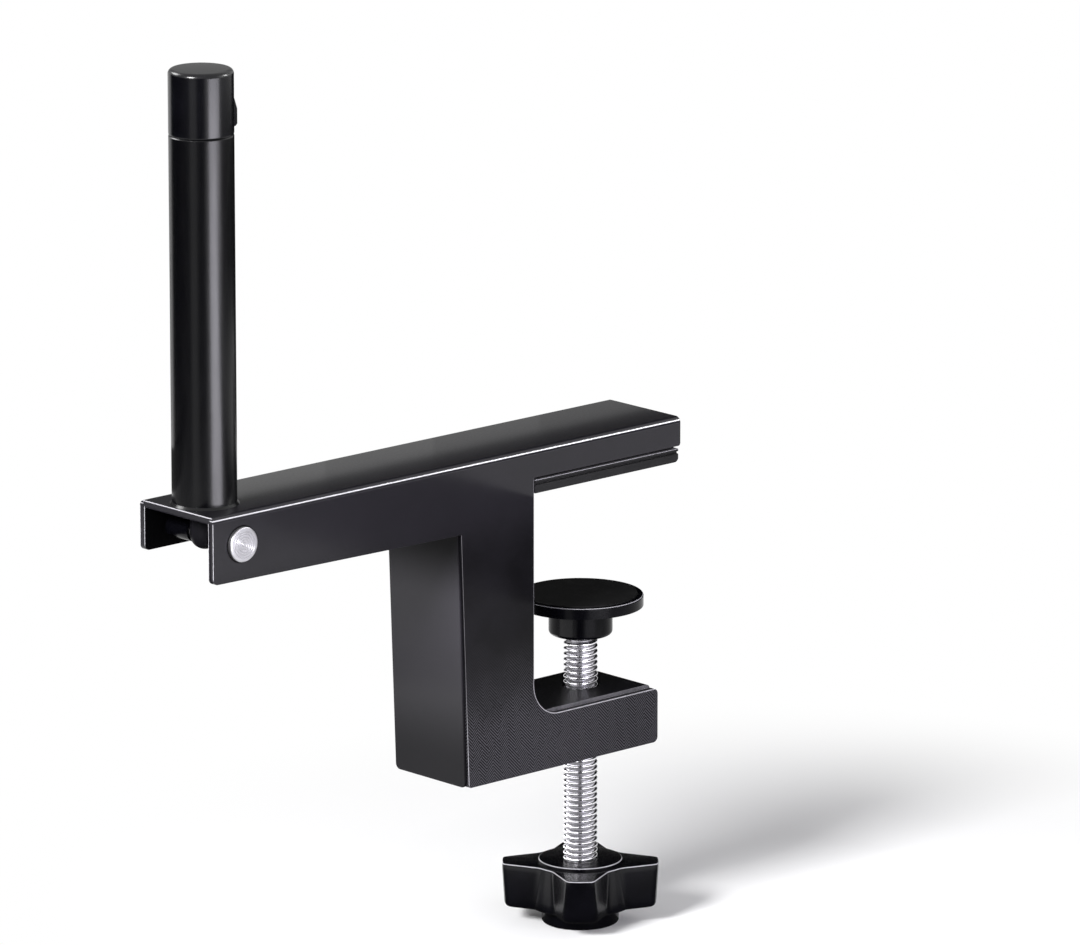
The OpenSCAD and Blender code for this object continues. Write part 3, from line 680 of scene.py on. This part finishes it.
def moulded_plastic(plastic, finish, gloss=0.14, haze=0.0, rims=(), rim=0.0):
    """Black moulded plastic with the faint sparkle of a spark-eroded tool.

    Each of the rims is the height of an upper edge, in metres. The rounding under it, whose radius is
    the rim in millimetres, gets a painted pale highlight. Haze is added to the roughness.
    """
    place = plastic.place()
    grain = plastic.noise(place, 4.5, 2.0)
    flow = plastic.noise(place, 0.12, 2.0)
    tint = plastic.blend(plastic.fade(flow, 0.3, 0.8), finish.plastic, shade(finish.plastic, 1.8))
    if rims:
        z = plastic.axes(place)[2]
        uneven = 0.5 + 0.6 * plastic.noise(place, 0.5, 2.0)
        for level in rims:
            # Painted highlight along each upper rim.
            painted_rim_highlight = plastic.band(z, level / MM - 0.6 * rim, level / MM - 0.22 * rim, 0.15 * rim)
            tint = plastic.blend(painted_rim_highlight * uneven, tint, finish.plastic_edge_highlight)
    plastic.set(
        Base_Color=tint,
        Roughness=finish.plastic_roughness + haze - 0.05 + 0.12 * grain,
        Specular_IOR_Level=gloss,
        Normal=plastic.bump(grain, 0.006, 0.6),
    )


def black_rubber(rubber, finish, tone=1.0, lip=None):
    """Matt rubber with a fine pitted skin and a trace of pale bloom.

    Tone makes it lighter or darker, and a lip whose top is at that height, in metres, gets a painted pale
    highlight.
    """
    place = rubber.place()
    pits = rubber.noise(place, 7.0, 2.0)
    bloom = rubber.fade(rubber.noise(place, 0.2, 3.0), 0.45, 0.8)
    tint = rubber.blend(bloom * 0.6, shade(finish.rubber, tone), shade(finish.rubber, 2.2 * tone))
    if lip is not None:
        # Painted highlight along the pad's lip.
        painted_rim_highlight = rubber.band(rubber.axes(place)[2], lip / MM - 0.20, lip / MM - 0.02, 0.05)
        tint = rubber.blend(painted_rim_highlight * (0.6 + 0.5 * pits), tint, finish.plastic_edge_highlight)
    rubber.set(
        Base_Color=tint,
        Roughness=finish.rubber_roughness + 0.1 * bloom,
        Specular_IOR_Level=0.2,
        Normal=rubber.bump(pits, 0.02, 0.7),
    )


def plated_thread(zinc, finish, crest, depth):
    """Bright zinc on the screw, with fine rolling lines round it and a darker colour in the thread's
    root.
    """
    place = zinc.place()
    x, y, z = zinc.axes(place)
    # The thread's root is darker.
    root = zinc.fade(distance(x, y), (crest - 0.5 * depth) / MM, (crest - 0.95 * depth) / MM)
    streaks = zinc.noise(zinc.node("CombineXYZ", {}, {0: x * 0.25, 1: y * 0.25, 2: z * 4}), 1.2, 2.0)
    clouds = zinc.noise(place, 0.25, 2.0)
    bright = zinc.blend(zinc.fade(streaks, 0.3, 0.75), finish.zinc, shade(finish.zinc, 0.92))
    zinc.set(
        Base_Color=zinc.blend(root * (0.50 + 0.35 * clouds), bright, finish.thread_root_colour),
        Metallic=1.0,
        Roughness=finish.zinc_roughness + 0.06 * streaks + 0.25 * root,
        Normal=zinc.bump(streaks, 0.003, 0.5),
    )


def turned_zinc(zinc, finish, centre):
    """Bright zinc with fine turning rings about an axis along Y."""
    place = zinc.place(centre)
    x, _, z = zinc.axes(place)
    radius = distance(x, z)
    rings = radius.wave(0.22)
    uneven = zinc.noise(zinc.node("CombineXYZ", {}, {0: radius, 1: radius, 2: radius}), 2.6, 2.0)
    dull = uneven * 0.7 + zinc.noise(place, 0.4, 2.0) * 0.4
    zinc.set(
        Base_Color=zinc.blend(dull, shade(finish.zinc, 0.66), shade(finish.zinc, 0.36)),
        Metallic=1.0,
        Roughness=finish.zinc_roughness + 0.12 + 0.14 * uneven,
        Normal=zinc.bump(rings * 0.5 + uneven, 0.012, 0.5),
    )


def plain_steel(steel, finish):
    """Uncoated steel of the inner parts, slightly mottled and finely scratched."""
    place = steel.place()
    mottle = steel.noise(place, 0.45, 4.0, 0.6)
    scratches = steel.noise(place, 9.0, 1.0)
    steel.set(
        Base_Color=steel.blend(steel.fade(mottle, 0.35, 0.7), shade(finish.steel, 0.7), finish.steel),
        Metallic=1.0,
        Roughness=finish.steel_roughness - 0.08 + 0.2 * mottle,
        Normal=steel.bump(scratches, 0.006, 0.5),
    )


def ball_steel(steel, finish):
    """Polished bearing steel with a faint haze of grease."""
    haze = steel.noise(steel.place(), 1.5, 2.0)
    steel.set(
        Base_Color=steel.blend(haze, finish.steel, shade(finish.zinc, 0.9)),
        Metallic=1.0,
        Roughness=0.08 + 0.14 * haze,
    )


def material(name, maker, finish, **facts):
    """The material of that name. When it is first asked for, the maker gives its nodes."""
    found = bpy.data.materials.get(name)
    if found:
        return found
    surface = Finish(name)
    maker(surface, finish, **facts)
    return surface.material


# ---------------------------------------------------------------- operators


class BuildStep(bpy.types.Operator):
    """Base of the operators: gives them the scene's sizes and finishes."""

    bl_options = {"REGISTER", "UNDO"}

    def execute(self, context):
        self.build(context.scene.clamp_sizes, context.scene.clamp_finish)
        return {"FINISHED"}


class CLAMP_OT_bracket(BuildStep):
    """Coats the pressed bracket and the plates that are welded between its cheeks"""

    bl_idname = "clamp.bracket"
    bl_label = "Bracket and plates"

    def build(self, sizes, finish):
        facts = {"sizes": sizes, "rivet": middle("cross_rivet"), "head": half_width("cross_rivet")}
        coat = material("black_powder_coat", bracket_coat, finish, **facts)
        back = material("back_powder_coat", back_coat, finish)
        inner = material("inner_powder_coat", inner_coat, finish)
        width = high("throat_plate").y - low("throat_plate").y
        throat = material("throat_powder_coat", inner_coat, finish, width=width)
        jaw = material("jaw_powder_coat", inner_coat, finish, gloss=0.03)
        parts = {
            "bracket": ("pressed_bracket", sizes.sheet_edge, coat),
            "leg_back_plate": ("leg_back", sizes.plate_edge, back),
            "throat_plate": ("throat_and_floor", sizes.plate_edge, throat),
            "jaw_plate": ("jaw_strip", sizes.plate_edge, jaw),
            "post_spigot": ("post_stem", sizes.plate_edge, inner),
        }
        for node, (name, edge, surface) in parts.items():
            finish_piece(rounded_part(node, name, edge), "frame", "coated_steel", surface, node)


class CLAMP_OT_pad(BuildStep):
    """Makes the ribbed rubber pad with its rounded ends, and the two studs that hold it"""

    bl_idname = "clamp.pad"
    bl_label = "Rubber pad"

    ribs = 7
    stud_spread = 0.55  # distance between the studs as a share of the pad's length
    stud_shank = 2.5 * MM
    stud_barb = 0.9 * MM  # how far the head stands out over the shank, and draws in at its tip
    stud_head = 1.6 * MM
    stud_sink = 1.0 * MM  # how deep the shank starts in the pad
    stud_edge = 0.25 * MM

    def section(self, width, thickness, sizes):
        """The pad's section as corners of [y, z]: ribs below, one groove along each side."""
        pitch = (width - sizes.groove_width) / self.ribs
        middles = (np.arange(1, self.ribs) - self.ribs / 2) * pitch
        groove = np.array([[-0.5, 0], [-0.5, 1], [0.5, 1], [0.5, 0]])
        groove = groove * [sizes.groove_width, sizes.groove_depth]
        under = (middles[:, None, None] * [1, 0] + groove).reshape(-1, 2)
        upper = thickness - sizes.pad_lip
        lower = upper - sizes.side_groove
        floor = width / 2 - sizes.side_groove
        side = np.array([
            [width / 2, 0], [width / 2, lower], [floor, lower], [floor, upper], [width / 2, upper],
            [width / 2, thickness],
        ])
        return np.concatenate([under, side, side[::-1] * [-1, 1]])

    def build(self, sizes, finish):
        """Carries the section along X, then lifts its underside to a quarter circle at the free end."""
        start, end = low("table_pad"), high("table_pad")
        thickness = low("jaw_plate").z
        rubber = material("black_pad_rubber", black_rubber, finish, tone=0.6, lip=thickness)
        corners = self.section(end.y - start.y, thickness, sizes)
        section = softened(corners, sizes.pad_edge, steps=3, closed=True)
        turn = np.linspace(0, math.pi / 2, 5)
        sink = sizes.pad_edge * (1 - np.sin(turn))
        run = sizes.pad_edge * (1 - np.cos(turn))
        nose = sizes.pad_nose * (1 - np.sin(np.linspace(0, math.pi / 2, 12)))
        nose = nose[nose > sizes.pad_edge]
        stations = np.concatenate([start.x + run, end.x - nose, end.x - run[::-1]])
        insets = np.concatenate([sink, np.zeros(len(nose)), sink[::-1]])
        grid = swept(section, stations, insets)
        into_nose = np.clip(grid[..., 0] - end.x + sizes.pad_nose, 0, sizes.pad_nose)
        lift = sizes.pad_nose - np.sqrt(sizes.pad_nose**2 - into_nose**2)
        grid[..., 2] = np.maximum(grid[..., 2], lift)
        pad = mesh_from_grid("ribbed_pad", grid)
        self.close_ends(pad)
        smooth(pad, 40)
        finish_piece(pad, "frame", "rubber", rubber, "table_pad")
        for number, side in enumerate((-1, 1)):
            x = (start.x + end.x + side * self.stud_spread * (end.x - start.x)) / 2
            self.stud(f"pad_stud_{number + 1}", x, thickness, end.z, rubber)

    def close_ends(self, pad):
        """Fills the two open ends of the swept skin."""
        with editing(pad.data) as work:
            rims = [edge for edge in work.edges if edge.is_boundary]
            bmesh.ops.holes_fill(work, edges=rims, sides=0)
            bmesh.ops.recalc_face_normals(work, faces=work.faces)

    def stud(self, name, x, base, top, rubber):
        """A round stud with a barbed head, its profile turned about the vertical."""
        shank, barb = self.stud_shank, self.stud_barb
        foot, neck = base - self.stud_sink, top - self.stud_head
        corners = [
            [0, foot], [shank, foot], [shank, neck], [shank + barb, neck], [shank - barb, top], [0, top],
        ]
        profile = softened(corners, self.stud_edge, steps=3)
        piece = mesh_from_grid(name, turned(profile, (x, 0, 0), sides=48))
        smooth(piece)
        finish_piece(piece, "frame", "rubber", rubber)


class CLAMP_OT_post(BuildStep):
    """Coats the slotted post and its hooked cap"""

    bl_idname = "clamp.post"
    bl_label = "Post and cap"

    def build(self, sizes, finish):
        coat = material("black_post_coat", smooth_coat, finish)
        plastic = material("cap_plastic", moulded_plastic, finish, gloss=0.36, haze=0.02)
        tube = rounded_part("post_tube", "slotted_post", sizes.tube_edge)
        finish_piece(tube, "frame", "post_coating", coat, "post_tube")
        cap = rounded_part("post_cap", "hooked_cap", sizes.cap_edge)
        finish_piece(cap, "cap", "black_plastic", plastic, "post_cap")


class CLAMP_OT_rivet(BuildStep):
    """Turns the cross rivet with its ringed head"""

    bl_idname = "clamp.rivet"
    bl_label = "Cross rivet"

    rings = 5
    ring_pitch = 0.9 * MM
    half_ring = 0.17 * MM  # half the width of a groove
    ring_depth = 0.12 * MM
    shank = 2.5 * MM  # radius, as that of the tail
    tail = 4.25 * MM
    head_edge = 0.45 * MM
    tail_base_edge = 0.2 * MM
    tail_edge = 0.9 * MM

    def build(self, sizes, finish):
        """Turns a profile of [radius, place along Y]: head with its grooves, shank and tail."""
        centre, end = middle("cross_rivet"), high("cross_rivet")
        zinc = material("turned_zinc", turned_zinc, finish, centre=centre)
        cheek, washer, face = low("bracket").y, high("rivet_washer").y, low("cross_rivet").y
        head = half_width("cross_rivet")
        places = np.arange(1, self.rings + 1) * self.ring_pitch
        notch = np.array([[-1, 0], [-0.5, 1], [0.5, 1], [1, 0]]) * [self.half_ring, self.ring_depth]
        grooves = (places[:, None, None] * [1, 0] + notch).reshape(-1, 2) + [0, face]
        corners = np.concatenate([
            [[0, face]], grooves,
            [[head, face], [head, cheek], [self.shank, cheek], [self.shank, washer],
             [self.tail, washer], [self.tail, end.y], [0, end.y]],
        ])
        radii = np.zeros(len(corners))
        radii[len(grooves) + 1] = self.head_edge
        radii[-3:-1] = self.tail_base_edge, self.tail_edge
        grid = turned(softened(corners, radii), (centre.x, 0, centre.z), sides=160, axis="Y")
        rivet = mesh_from_grid("ringed_rivet", grid)
        smooth(rivet, 30)
        finish_piece(rivet, "frame", "bright_zinc", zinc, "cross_rivet")


class CLAMP_OT_screw(BuildStep):
    """Cuts the clamp screw's thread"""

    bl_idname = "clamp.screw"
    bl_label = "Clamp screw"

    sides = 72
    chamfer_slope = 1.2
    # The thread's profile in shares of its pitch and of its depth: a rounded crest, then a rounded root.
    profile_places = np.array([-0.22, -0.13, 0.13, 0.22, 0.40, 0.46, 0.54, 0.60])
    profile_depths = np.array([0.14, 0.0, 0.0, 0.14, 0.86, 1.0, 1.0, 0.86])

    def thread(self, bottom, top, radius, pitch, depth):
        """The thread's surface as a grid.

        Row i holds one edge of the profile: at turn t it stands at (first + i // 8 + place + t) pitches,
        at the radius less its depth. Heights past an end stay at the end, where the rod is chamfered to
        its root, and the first and last rows are poles.
        """
        edges = len(self.profile_places)
        first = math.floor(bottom / pitch) - 3
        turns = math.ceil((top - bottom) / pitch) + 6
        row = np.arange(turns * edges)
        share_of_turn = np.arange(self.sides) / self.sides
        place = first + row // edges + self.profile_places[row % edges]
        height = np.clip((place[:, None] + share_of_turn) * pitch, bottom, top)
        ridge = radius - depth * self.profile_depths[row % edges][:, None]
        chamfer = radius - depth + np.minimum(height - bottom, top - height) * self.chamfer_slope
        reach = np.minimum(ridge, chamfer)
        reach[[0, -1]] = 0
        turn = share_of_turn * TAU
        return np.stack([reach * np.cos(turn), reach * np.sin(turn), height], -1)

    def build(self, sizes, finish):
        start, end = low("clamp_spindle"), high("clamp_spindle")
        radius = half_width("clamp_spindle")
        grid = self.thread(start.z, end.z, radius, sizes.pitch, sizes.thread_depth)
        screw = mesh_from_grid("threaded_screw", grid, shift=len(self.profile_places))
        smooth(screw, 50)
        facts = {"crest": radius, "depth": sizes.thread_depth}
        zinc = material("bright_zinc_thread", plated_thread, finish, **facts)
        finish_piece(screw, "spindle", "bright_zinc", zinc, "clamp_spindle")


class CLAMP_OT_foot(BuildStep):
    """Finishes the foot and its rubber facing"""

    bl_idname = "clamp.foot"
    bl_label = "Foot"

    def build(self, sizes, finish):
        facts = {"gloss": 0.08, "rims": (high("foot_plate").z,), "rim": sizes.foot_edge / MM}
        plastic = material("black_foot_plastic", moulded_plastic, finish, **facts)
        # The facing's rubber is painted darker than the pad's, as shade on the foot's top.
        rubber = material("black_foot_rubber", black_rubber, finish, tone=0.35)
        foot = rounded_part("foot_plate", "tilting_foot", sizes.foot_edge)
        finish_piece(foot, "foot", "black_plastic", plastic, "foot_plate")
        facing = rounded_part("foot_facing", "rubber_facing", sizes.pad_edge)
        finish_piece(facing, "foot", "rubber", rubber, "foot_facing")


class CLAMP_OT_knob(BuildStep):
    """Moulds the four-lobed knob"""

    bl_idname = "clamp.knob"
    bl_label = "Knob"

    columns = 720
    turn_of_lobes = math.radians(47)
    bore_gap = 0.15 * MM
    fit_gap = 0.05 * MM
    low_boss_edge = 1.0 * MM

    def outline(self, fall, inset, sizes):
        """The radius of hub and lobes at each column, drawn in by an inset.

        A lobe's side is a line whose distance from the lobe's middle line is its half width at the
        tip's radius and grows by the taper inwards, so in polar form its radius is (half width + taper
        * reach) / (sine of the turn from the lobe + taper * cosine of that turn). A soft minimum with
        the tip's radius rounds the tip's corners, and a soft maximum with the hub's radius rounds the
        creases. Fall is 0 at the lobes' top and 1 at their bottom.
        """
        away = np.abs((self.turn - self.turn_of_lobes + math.pi / 4) % (math.pi / 2) - math.pi / 4)
        taper = sizes.lobe_taper
        start = sizes.lobe_half_width + sizes.lobe_flare * fall + taper * sizes.knob_reach
        side = (start - inset * math.hypot(1, taper)) / (np.sin(away) + taper * np.cos(away))
        tip = sizes.knob_reach - sizes.knob_draft * fall - inset
        hub = sizes.hub_radius + sizes.hub_flare * fall - inset
        lobe = soft_minimum(side, tip, sizes.tip_softness)
        return -soft_minimum(-lobe, -hub, sizes.crease_softness)

    def rows(self, sizes):
        """Rows of [height, radius of a plain circle, inset], closed round the wall.

        A row with a radius of 0 takes the outline of hub and lobes, drawn in by its inset.
        """
        top, bottom = high("knob_body").z, low("knob_body").z
        lobe_top = top - sizes.boss_height
        lobe_bottom = lobe_top - sizes.lobe_height
        bore = high("clamp_spindle").x + self.bore_gap
        recess = high("knob_cover").x + self.fit_gap
        pocket = high("knob_insert").z + self.fit_gap
        quarter = np.linspace(0, math.pi / 2, 7)
        none = np.zeros(len(quarter))
        upper = np.column_stack([np.cos(quarter) - 1, none, 1 - np.sin(quarter)]) * sizes.knob_edge
        upper = upper + [lobe_top, 0, 0]
        lower = np.column_stack([1 - np.sin(quarter), none, 1 - np.cos(quarter)]) * sizes.knob_low_edge
        lower = lower + [lobe_bottom, 0, 0]
        side = np.linspace(upper[-1], lower[0], 8)[1:-1]
        boss = sizes.boss_radius
        top_path = softened([[bore, top], [boss, top], [boss, lobe_top]], sizes.boss_edge)
        low_path = softened(
            [[sizes.low_boss_radius, lobe_bottom], [sizes.low_boss_radius, bottom], [recess, bottom],
             [recess, pocket], [bore, pocket]],
            [0, self.low_boss_edge, sizes.boss_edge, 0, 0],
        )
        circles = [np.insert(path[:, ::-1], 2, 0, axis=1) for path in (top_path, low_path)]
        return np.concatenate([circles[0], upper, side, lower, circles[1]]), lobe_top

    def build(self, sizes, finish):
        self.turn = np.linspace(0, TAU, self.columns, endpoint=False)
        rows, lobe_top = self.rows(sizes)
        height, circle, inset = rows.T[:, :, None]
        fall = np.clip((lobe_top - height) / sizes.lobe_height, 0, 1)
        radius = np.where(circle > 0, circle, self.outline(fall, inset, sizes))
        along = np.broadcast_to(height, radius.shape)
        grid = np.stack([radius * np.cos(self.turn), radius * np.sin(self.turn), along], -1)
        knob = mesh_from_grid("lobed_knob", grid, wrap_rows=True)
        smooth(knob, 40)
        facts = {"gloss": 0.16, "rims": (lobe_top, high("knob_body").z), "rim": sizes.knob_edge / MM}
        plastic = material("black_knob_plastic", moulded_plastic, finish, **facts)
        finish_piece(knob, "spindle", "black_plastic", plastic, "knob_body")


class CLAMP_OT_inner_parts(BuildStep):
    """Gives the parts that stay as the frame has them their materials"""

    bl_idname = "clamp.inner_parts"
    bl_label = "Inner parts"

    def build(self, sizes, finish):
        steel = material("plain_steel", plain_steel, finish)
        rubber = material("black_rubber", black_rubber, finish)
        plastic = material("black_moulded_plastic", moulded_plastic, finish)
        zinc = material("turned_zinc", turned_zinc, finish, centre=middle("cross_rivet"))
        ball = material("ball_steel", ball_steel, finish)
        finishes = {
            "spindle_nut": steel,
            "rivet_spacers": plastic,
            "rivet_washer": zinc,
            "cap_grip_ring": rubber,
            "thrust_ball": ball,
            "retaining_ring": steel,
            "spindle_tip": steel,
            "knob_insert": steel,
            "knob_locknut": steel,
            "knob_cover": plastic,
        }
        for node, surface in finishes.items():
            coat_with(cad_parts[node], surface)


def lamp(name, place, target, size, watts, tint=(1, 1, 1)):
    """A rectangular lamp at a place, turned to its target."""
    data = bpy.data.lights.new(name, "AREA")
    data.shape = "RECTANGLE"
    data.size, data.size_y = size
    data.energy = watts
    data.color = tint
    piece = placed(name, data)
    piece.location = place
    piece.rotation_euler = (Vector(target) - Vector(place)).to_track_quat("-Z", "Y").to_euler()
    piece.visible_camera = False


class CLAMP_OT_studio(bpy.types.Operator):
    """Sets the camera, the pale floor, the soft lamps and the cards that only gloss sees, painted
    reflections
    """

    bl_idname = "clamp.studio"
    bl_label = "Studio"
    bl_options = {"REGISTER", "UNDO"}

    floor_radii = (0, 0.5, 6.0)
    shadow_middle = (0.07, 0, 0)
    shadow_reach = (80.0, 250.0)  # the floor turns white between these distances, in millimetres
    card_points = 24  # along an arc
    # Painted reflections of a net along the arm, its end facing the post: a dark card for the net
    # and glowing cards under it, dimmer further on.
    net_face, net_end, net_reach = 0.021, -0.165, 0.6
    net_heights = (0.0165, 0.0242, 0.16)  # the arm's top, the net's lower edge and its upper edge
    gaps_under_net = ((-0.10, 0.60), (-0.05, 0.52), (0.0, 0.45), (net_reach, 0.39))  # end, brightness
    # Painted reflections of a table over the screw: dark cards under it and at its edge, a glowing one on
    # top.
    table_edge, table_reach = -0.036, 0.7
    table_heights = (-0.040, -0.002)
    # Dark cards close the arm's channel to gloss: painted shade inside it.
    channel_sides = (-0.0164, 0.0164)
    channel_heights = (-0.0075, 0.0138)
    channel_depth = 0.106

    def camera(self, studio):
        """Looks at the aim from the given turn, height and distance."""
        data = bpy.data.cameras.new("camera")
        data.lens = studio.lens
        data.sensor_width = 36
        data.clip_end = 50
        camera = placed("camera", data)
        turn, rise = studio.azimuth, studio.elevation
        back = Vector((math.sin(turn) * math.cos(rise), -math.cos(turn) * math.cos(rise), math.sin(rise)))
        camera.location = Vector(studio.aim) + back * studio.distance
        camera.rotation_euler = (-back).to_track_quat("-Z", "Y").to_euler()
        bpy.context.scene.camera = camera

    def floor(self, studio):
        """A wide disc under the knob. Away from the shadow, lens and gloss see it as plain white."""
        ground = Finish("studio_floor")
        x, y, _ = ground.axes(ground.place(self.shadow_middle))
        away = ground.fade(distance(x, y), *self.shadow_reach)
        dust = ground.noise(ground.place(), 0.01, 2.0)
        ground.set(
            Base_Color=ground.blend(dust * 0.3, studio.floor, shade(studio.floor, 0.99)),
            Roughness=0.9,
            Specular_IOR_Level=0.1,
        )
        plain = Socket(ground, ground.shader.outputs[0])
        white = ground.node("Emission", {}, {"Color": (1, 1, 1), "Strength": 1.0})
        ground.show("Material Output", ground.seen() * away, plain, white)
        level = min(low("knob_body").z, low("knob_cover").z)
        profile = [[radius, level] for radius in self.floor_radii]
        floor = mesh_from_grid("studio_floor", turned(profile, (0, 0, 0), sides=96))
        floor.data.materials.append(ground.material)
        return level

    def world(self, studio):
        """Dim, even light from all round, which lens, gloss and glass see as plain white."""
        world = bpy.data.worlds.new("studio")
        world.use_nodes = True
        sky = Nodes(world.node_tree)
        dim, white = [
            sky.node("Background", {}, {"Color": (1, 1, 1), "Strength": light})
            for light in (studio.world_strength, 1.0)
        ]
        sky.show("World Output", sky.seen(), dim, white)
        bpy.context.scene.world = world

    def flat(self, x, y, z):
        """Corners of a flat card. Two of its three places are ranges, and it spans them."""
        corners = np.meshgrid(x, y, z, indexing="ij")
        return np.stack([part.T.reshape(2, 2) for part in corners], -1)

    def arc(self, x, radius, turns, heights):
        """Points of a band round an upright axis at x, with turns in degrees from the camera's side."""
        turn = self.facing + np.radians(np.linspace(*turns, self.card_points))
        ring = np.stack([x + radius * np.cos(turn), radius * np.sin(turn)], -1)
        return np.stack([np.insert(ring, 2, height, axis=1) for height in heights])

    def card(self, name, grid, brightness):
        """A card that only gloss sees: a painted reflection, dark or glowing by its brightness."""
        card = mesh_from_grid(name, grid, wrap_columns=False)
        surface = Finish(name)
        surface.set(Base_Color=(0, 0, 0), Specular_IOR_Level=0.0, Roughness=1.0)
        surface.set(Emission_Color=(1, 1, 1), Emission_Strength=brightness)
        card.data.materials.append(surface.material)
        for ray in ("camera", "diffuse", "transmission", "shadow"):
            setattr(card, f"visible_{ray}", False)

    def cards(self, level):
        """Painted reflections of the table and net, and of the room's dark and bright places, each card
        with its brightness.
        """
        flat, arc = self.flat, self.arc
        post, arm_end = middle("post_tube").x, low("bracket").x
        post_heights = (-0.068, 0.2)
        arm_top, net_foot, net_top = self.net_heights
        under_net, start = [], self.net_end
        for number, (end, brightness) in enumerate(self.gaps_under_net):
            grid = flat((start, end), self.net_face, (arm_top, net_foot))
            under_net.append((f"under_net_card_{number + 1}", grid, brightness))
            start = end
        knob_fan = [arc(0, radius, (-95, 95), (level + 0.4 * MM,)) for radius in (0.012, 0.12)]
        table, across = (self.table_edge, self.table_reach), (-self.table_reach, self.table_reach)
        under, top = self.table_heights
        end_plane = arm_end - MM
        channel = (end_plane, end_plane + self.channel_depth)
        cards = [
            ("throat_glow", flat(-0.0374, (-0.016, 0.016), (-0.078, -0.058)), 3.8),
            ("screw_card", arc(0, 0.12, (-13, 12), (level, -0.06)), 0.0),
            ("screw_glow_1", arc(0, 0.12, (-82, -17), (level, -0.085)), 2.4),
            ("screw_glow_2", arc(0, 0.12, (18, 80), (level, -0.085)), 1.8),
            ("post_card_1", arc(post, 0.35, (-125, -38), post_heights), 0.0),
            ("post_glow", arc(post, 0.35, (-38, -14), post_heights), 0.6),
            ("post_card_2", arc(post, 0.35, (-14, 16), post_heights), 0.0),
            ("post_side_card", arc(post, 0.35, (74, 150), (-0.068, 0.09)), 0.0),
            ("cap_card", arc(post, 0.35, (150, 215), (0.17, 0.36)), 0.38),
            *under_net,
            ("net_card", flat((self.net_end, self.net_reach), self.net_face, (net_foot, net_top)), 0.005),
            ("end_card", flat((-0.26, self.net_end), self.net_face, (arm_top, 0.032)), 0.12),
            ("knob_card", np.concatenate(knob_fan), 0.06),
            ("knob_glow", arc(0, 0.10, (-152, -100), (level, level + 0.05)), 3.6),
            ("table_under_card", flat(table, across, under), 0.0),
            ("table_edge_card", flat(self.table_edge, across, self.table_heights), 0.0),
            ("table_top_card", flat(table, across, top), 0.9),
            ("channel_card", flat(channel, self.channel_sides, self.channel_heights[0]), 0.0),
            ("channel_end_card", flat(end_plane, self.channel_sides, self.channel_heights), 0.0),
            ("bend_glow", arc(-0.08, 0.9, (91, 105), (0.34, 0.62)), 21.0),
            ("end_glow", arc(arm_end, 0.9, (-135, -100), (0.55, 1.0)), 14.0),
        ]
        for name, grid, brightness in cards:
            self.card(name, grid, brightness)

    def lamps(self, studio):
        """A soft lamp on the left, a strip beside the post's foot and a soft box on the right."""
        post = middle("post_tube").x
        turn, reach, height = self.facing + math.radians(48), 0.6, -0.055
        strip = (post + reach * math.cos(turn), reach * math.sin(turn), height)
        lamp("key", (-1.33, -0.27, 0.68), (0, 0, -0.05), (0.42, 0.34), studio.key_watts)
        lamp("strip", strip, (post, 0, height), (0.42, 0.21), studio.strip_watts, (0.93, 0.91, 1.0))
        lamp("side", (0.55, -0.60, 0.38), (-0.08, 0, 0.01), (0.80, 0.66), studio.side_watts)

    def execute(self, context):
        studio = context.scene.clamp_studio
        self.facing = studio.azimuth - math.pi / 2  # the camera's side, as a turn from +X
        self.camera(studio)
        level = self.floor(studio)
        self.world(studio)
        self.cards(level)
        self.lamps(studio)
        context.scene.view_settings.view_transform = "Standard"
        return {"FINISHED"}


STEPS = (
    CLAMP_OT_bracket,
    CLAMP_OT_pad,
    CLAMP_OT_post,
    CLAMP_OT_rivet,
    CLAMP_OT_screw,
    CLAMP_OT_foot,
    CLAMP_OT_knob,
    CLAMP_OT_inner_parts,
    CLAMP_OT_studio,
)


class CLAMP_PT_panel(bpy.types.Panel):
    """Lists the sizes, the finishes and the steps"""

    bl_idname = "CLAMP_PT_panel"
    bl_label = "Net Clamp"
    bl_space_type = "VIEW_3D"
    bl_region_type = "UI"
    bl_category = "Net Clamp"

    def draw(self, context):
        for group in ("clamp_sizes", "clamp_finish", "clamp_studio"):
            settings = getattr(context.scene, group)
            box = self.layout.box()
            for name in settings.__annotations__:
                box.prop(settings, name)
        for step in STEPS:
            self.layout.operator(step.bl_idname)


CLASSES = (ClampSizes, ClampFinish, StudioSettings, *STEPS, CLAMP_PT_panel)


def register():
    for item in CLASSES:
        bpy.utils.register_class(item)
    bpy.types.Scene.clamp_sizes = bpy.props.PointerProperty(type=ClampSizes)
    bpy.types.Scene.clamp_finish = bpy.props.PointerProperty(type=ClampFinish)
    bpy.types.Scene.clamp_studio = bpy.props.PointerProperty(type=StudioSettings)


def unregister():
    del bpy.types.Scene.clamp_sizes
    del bpy.types.Scene.clamp_finish
    del bpy.types.Scene.clamp_studio
    for item in reversed(CLASSES):
        bpy.utils.unregister_class(item)


def main():
    register()
    for step in STEPS:
        group, name = step.bl_idname.split(".")
        getattr(getattr(bpy.ops, group), name)()


if __name__ == "__main__":
    main()
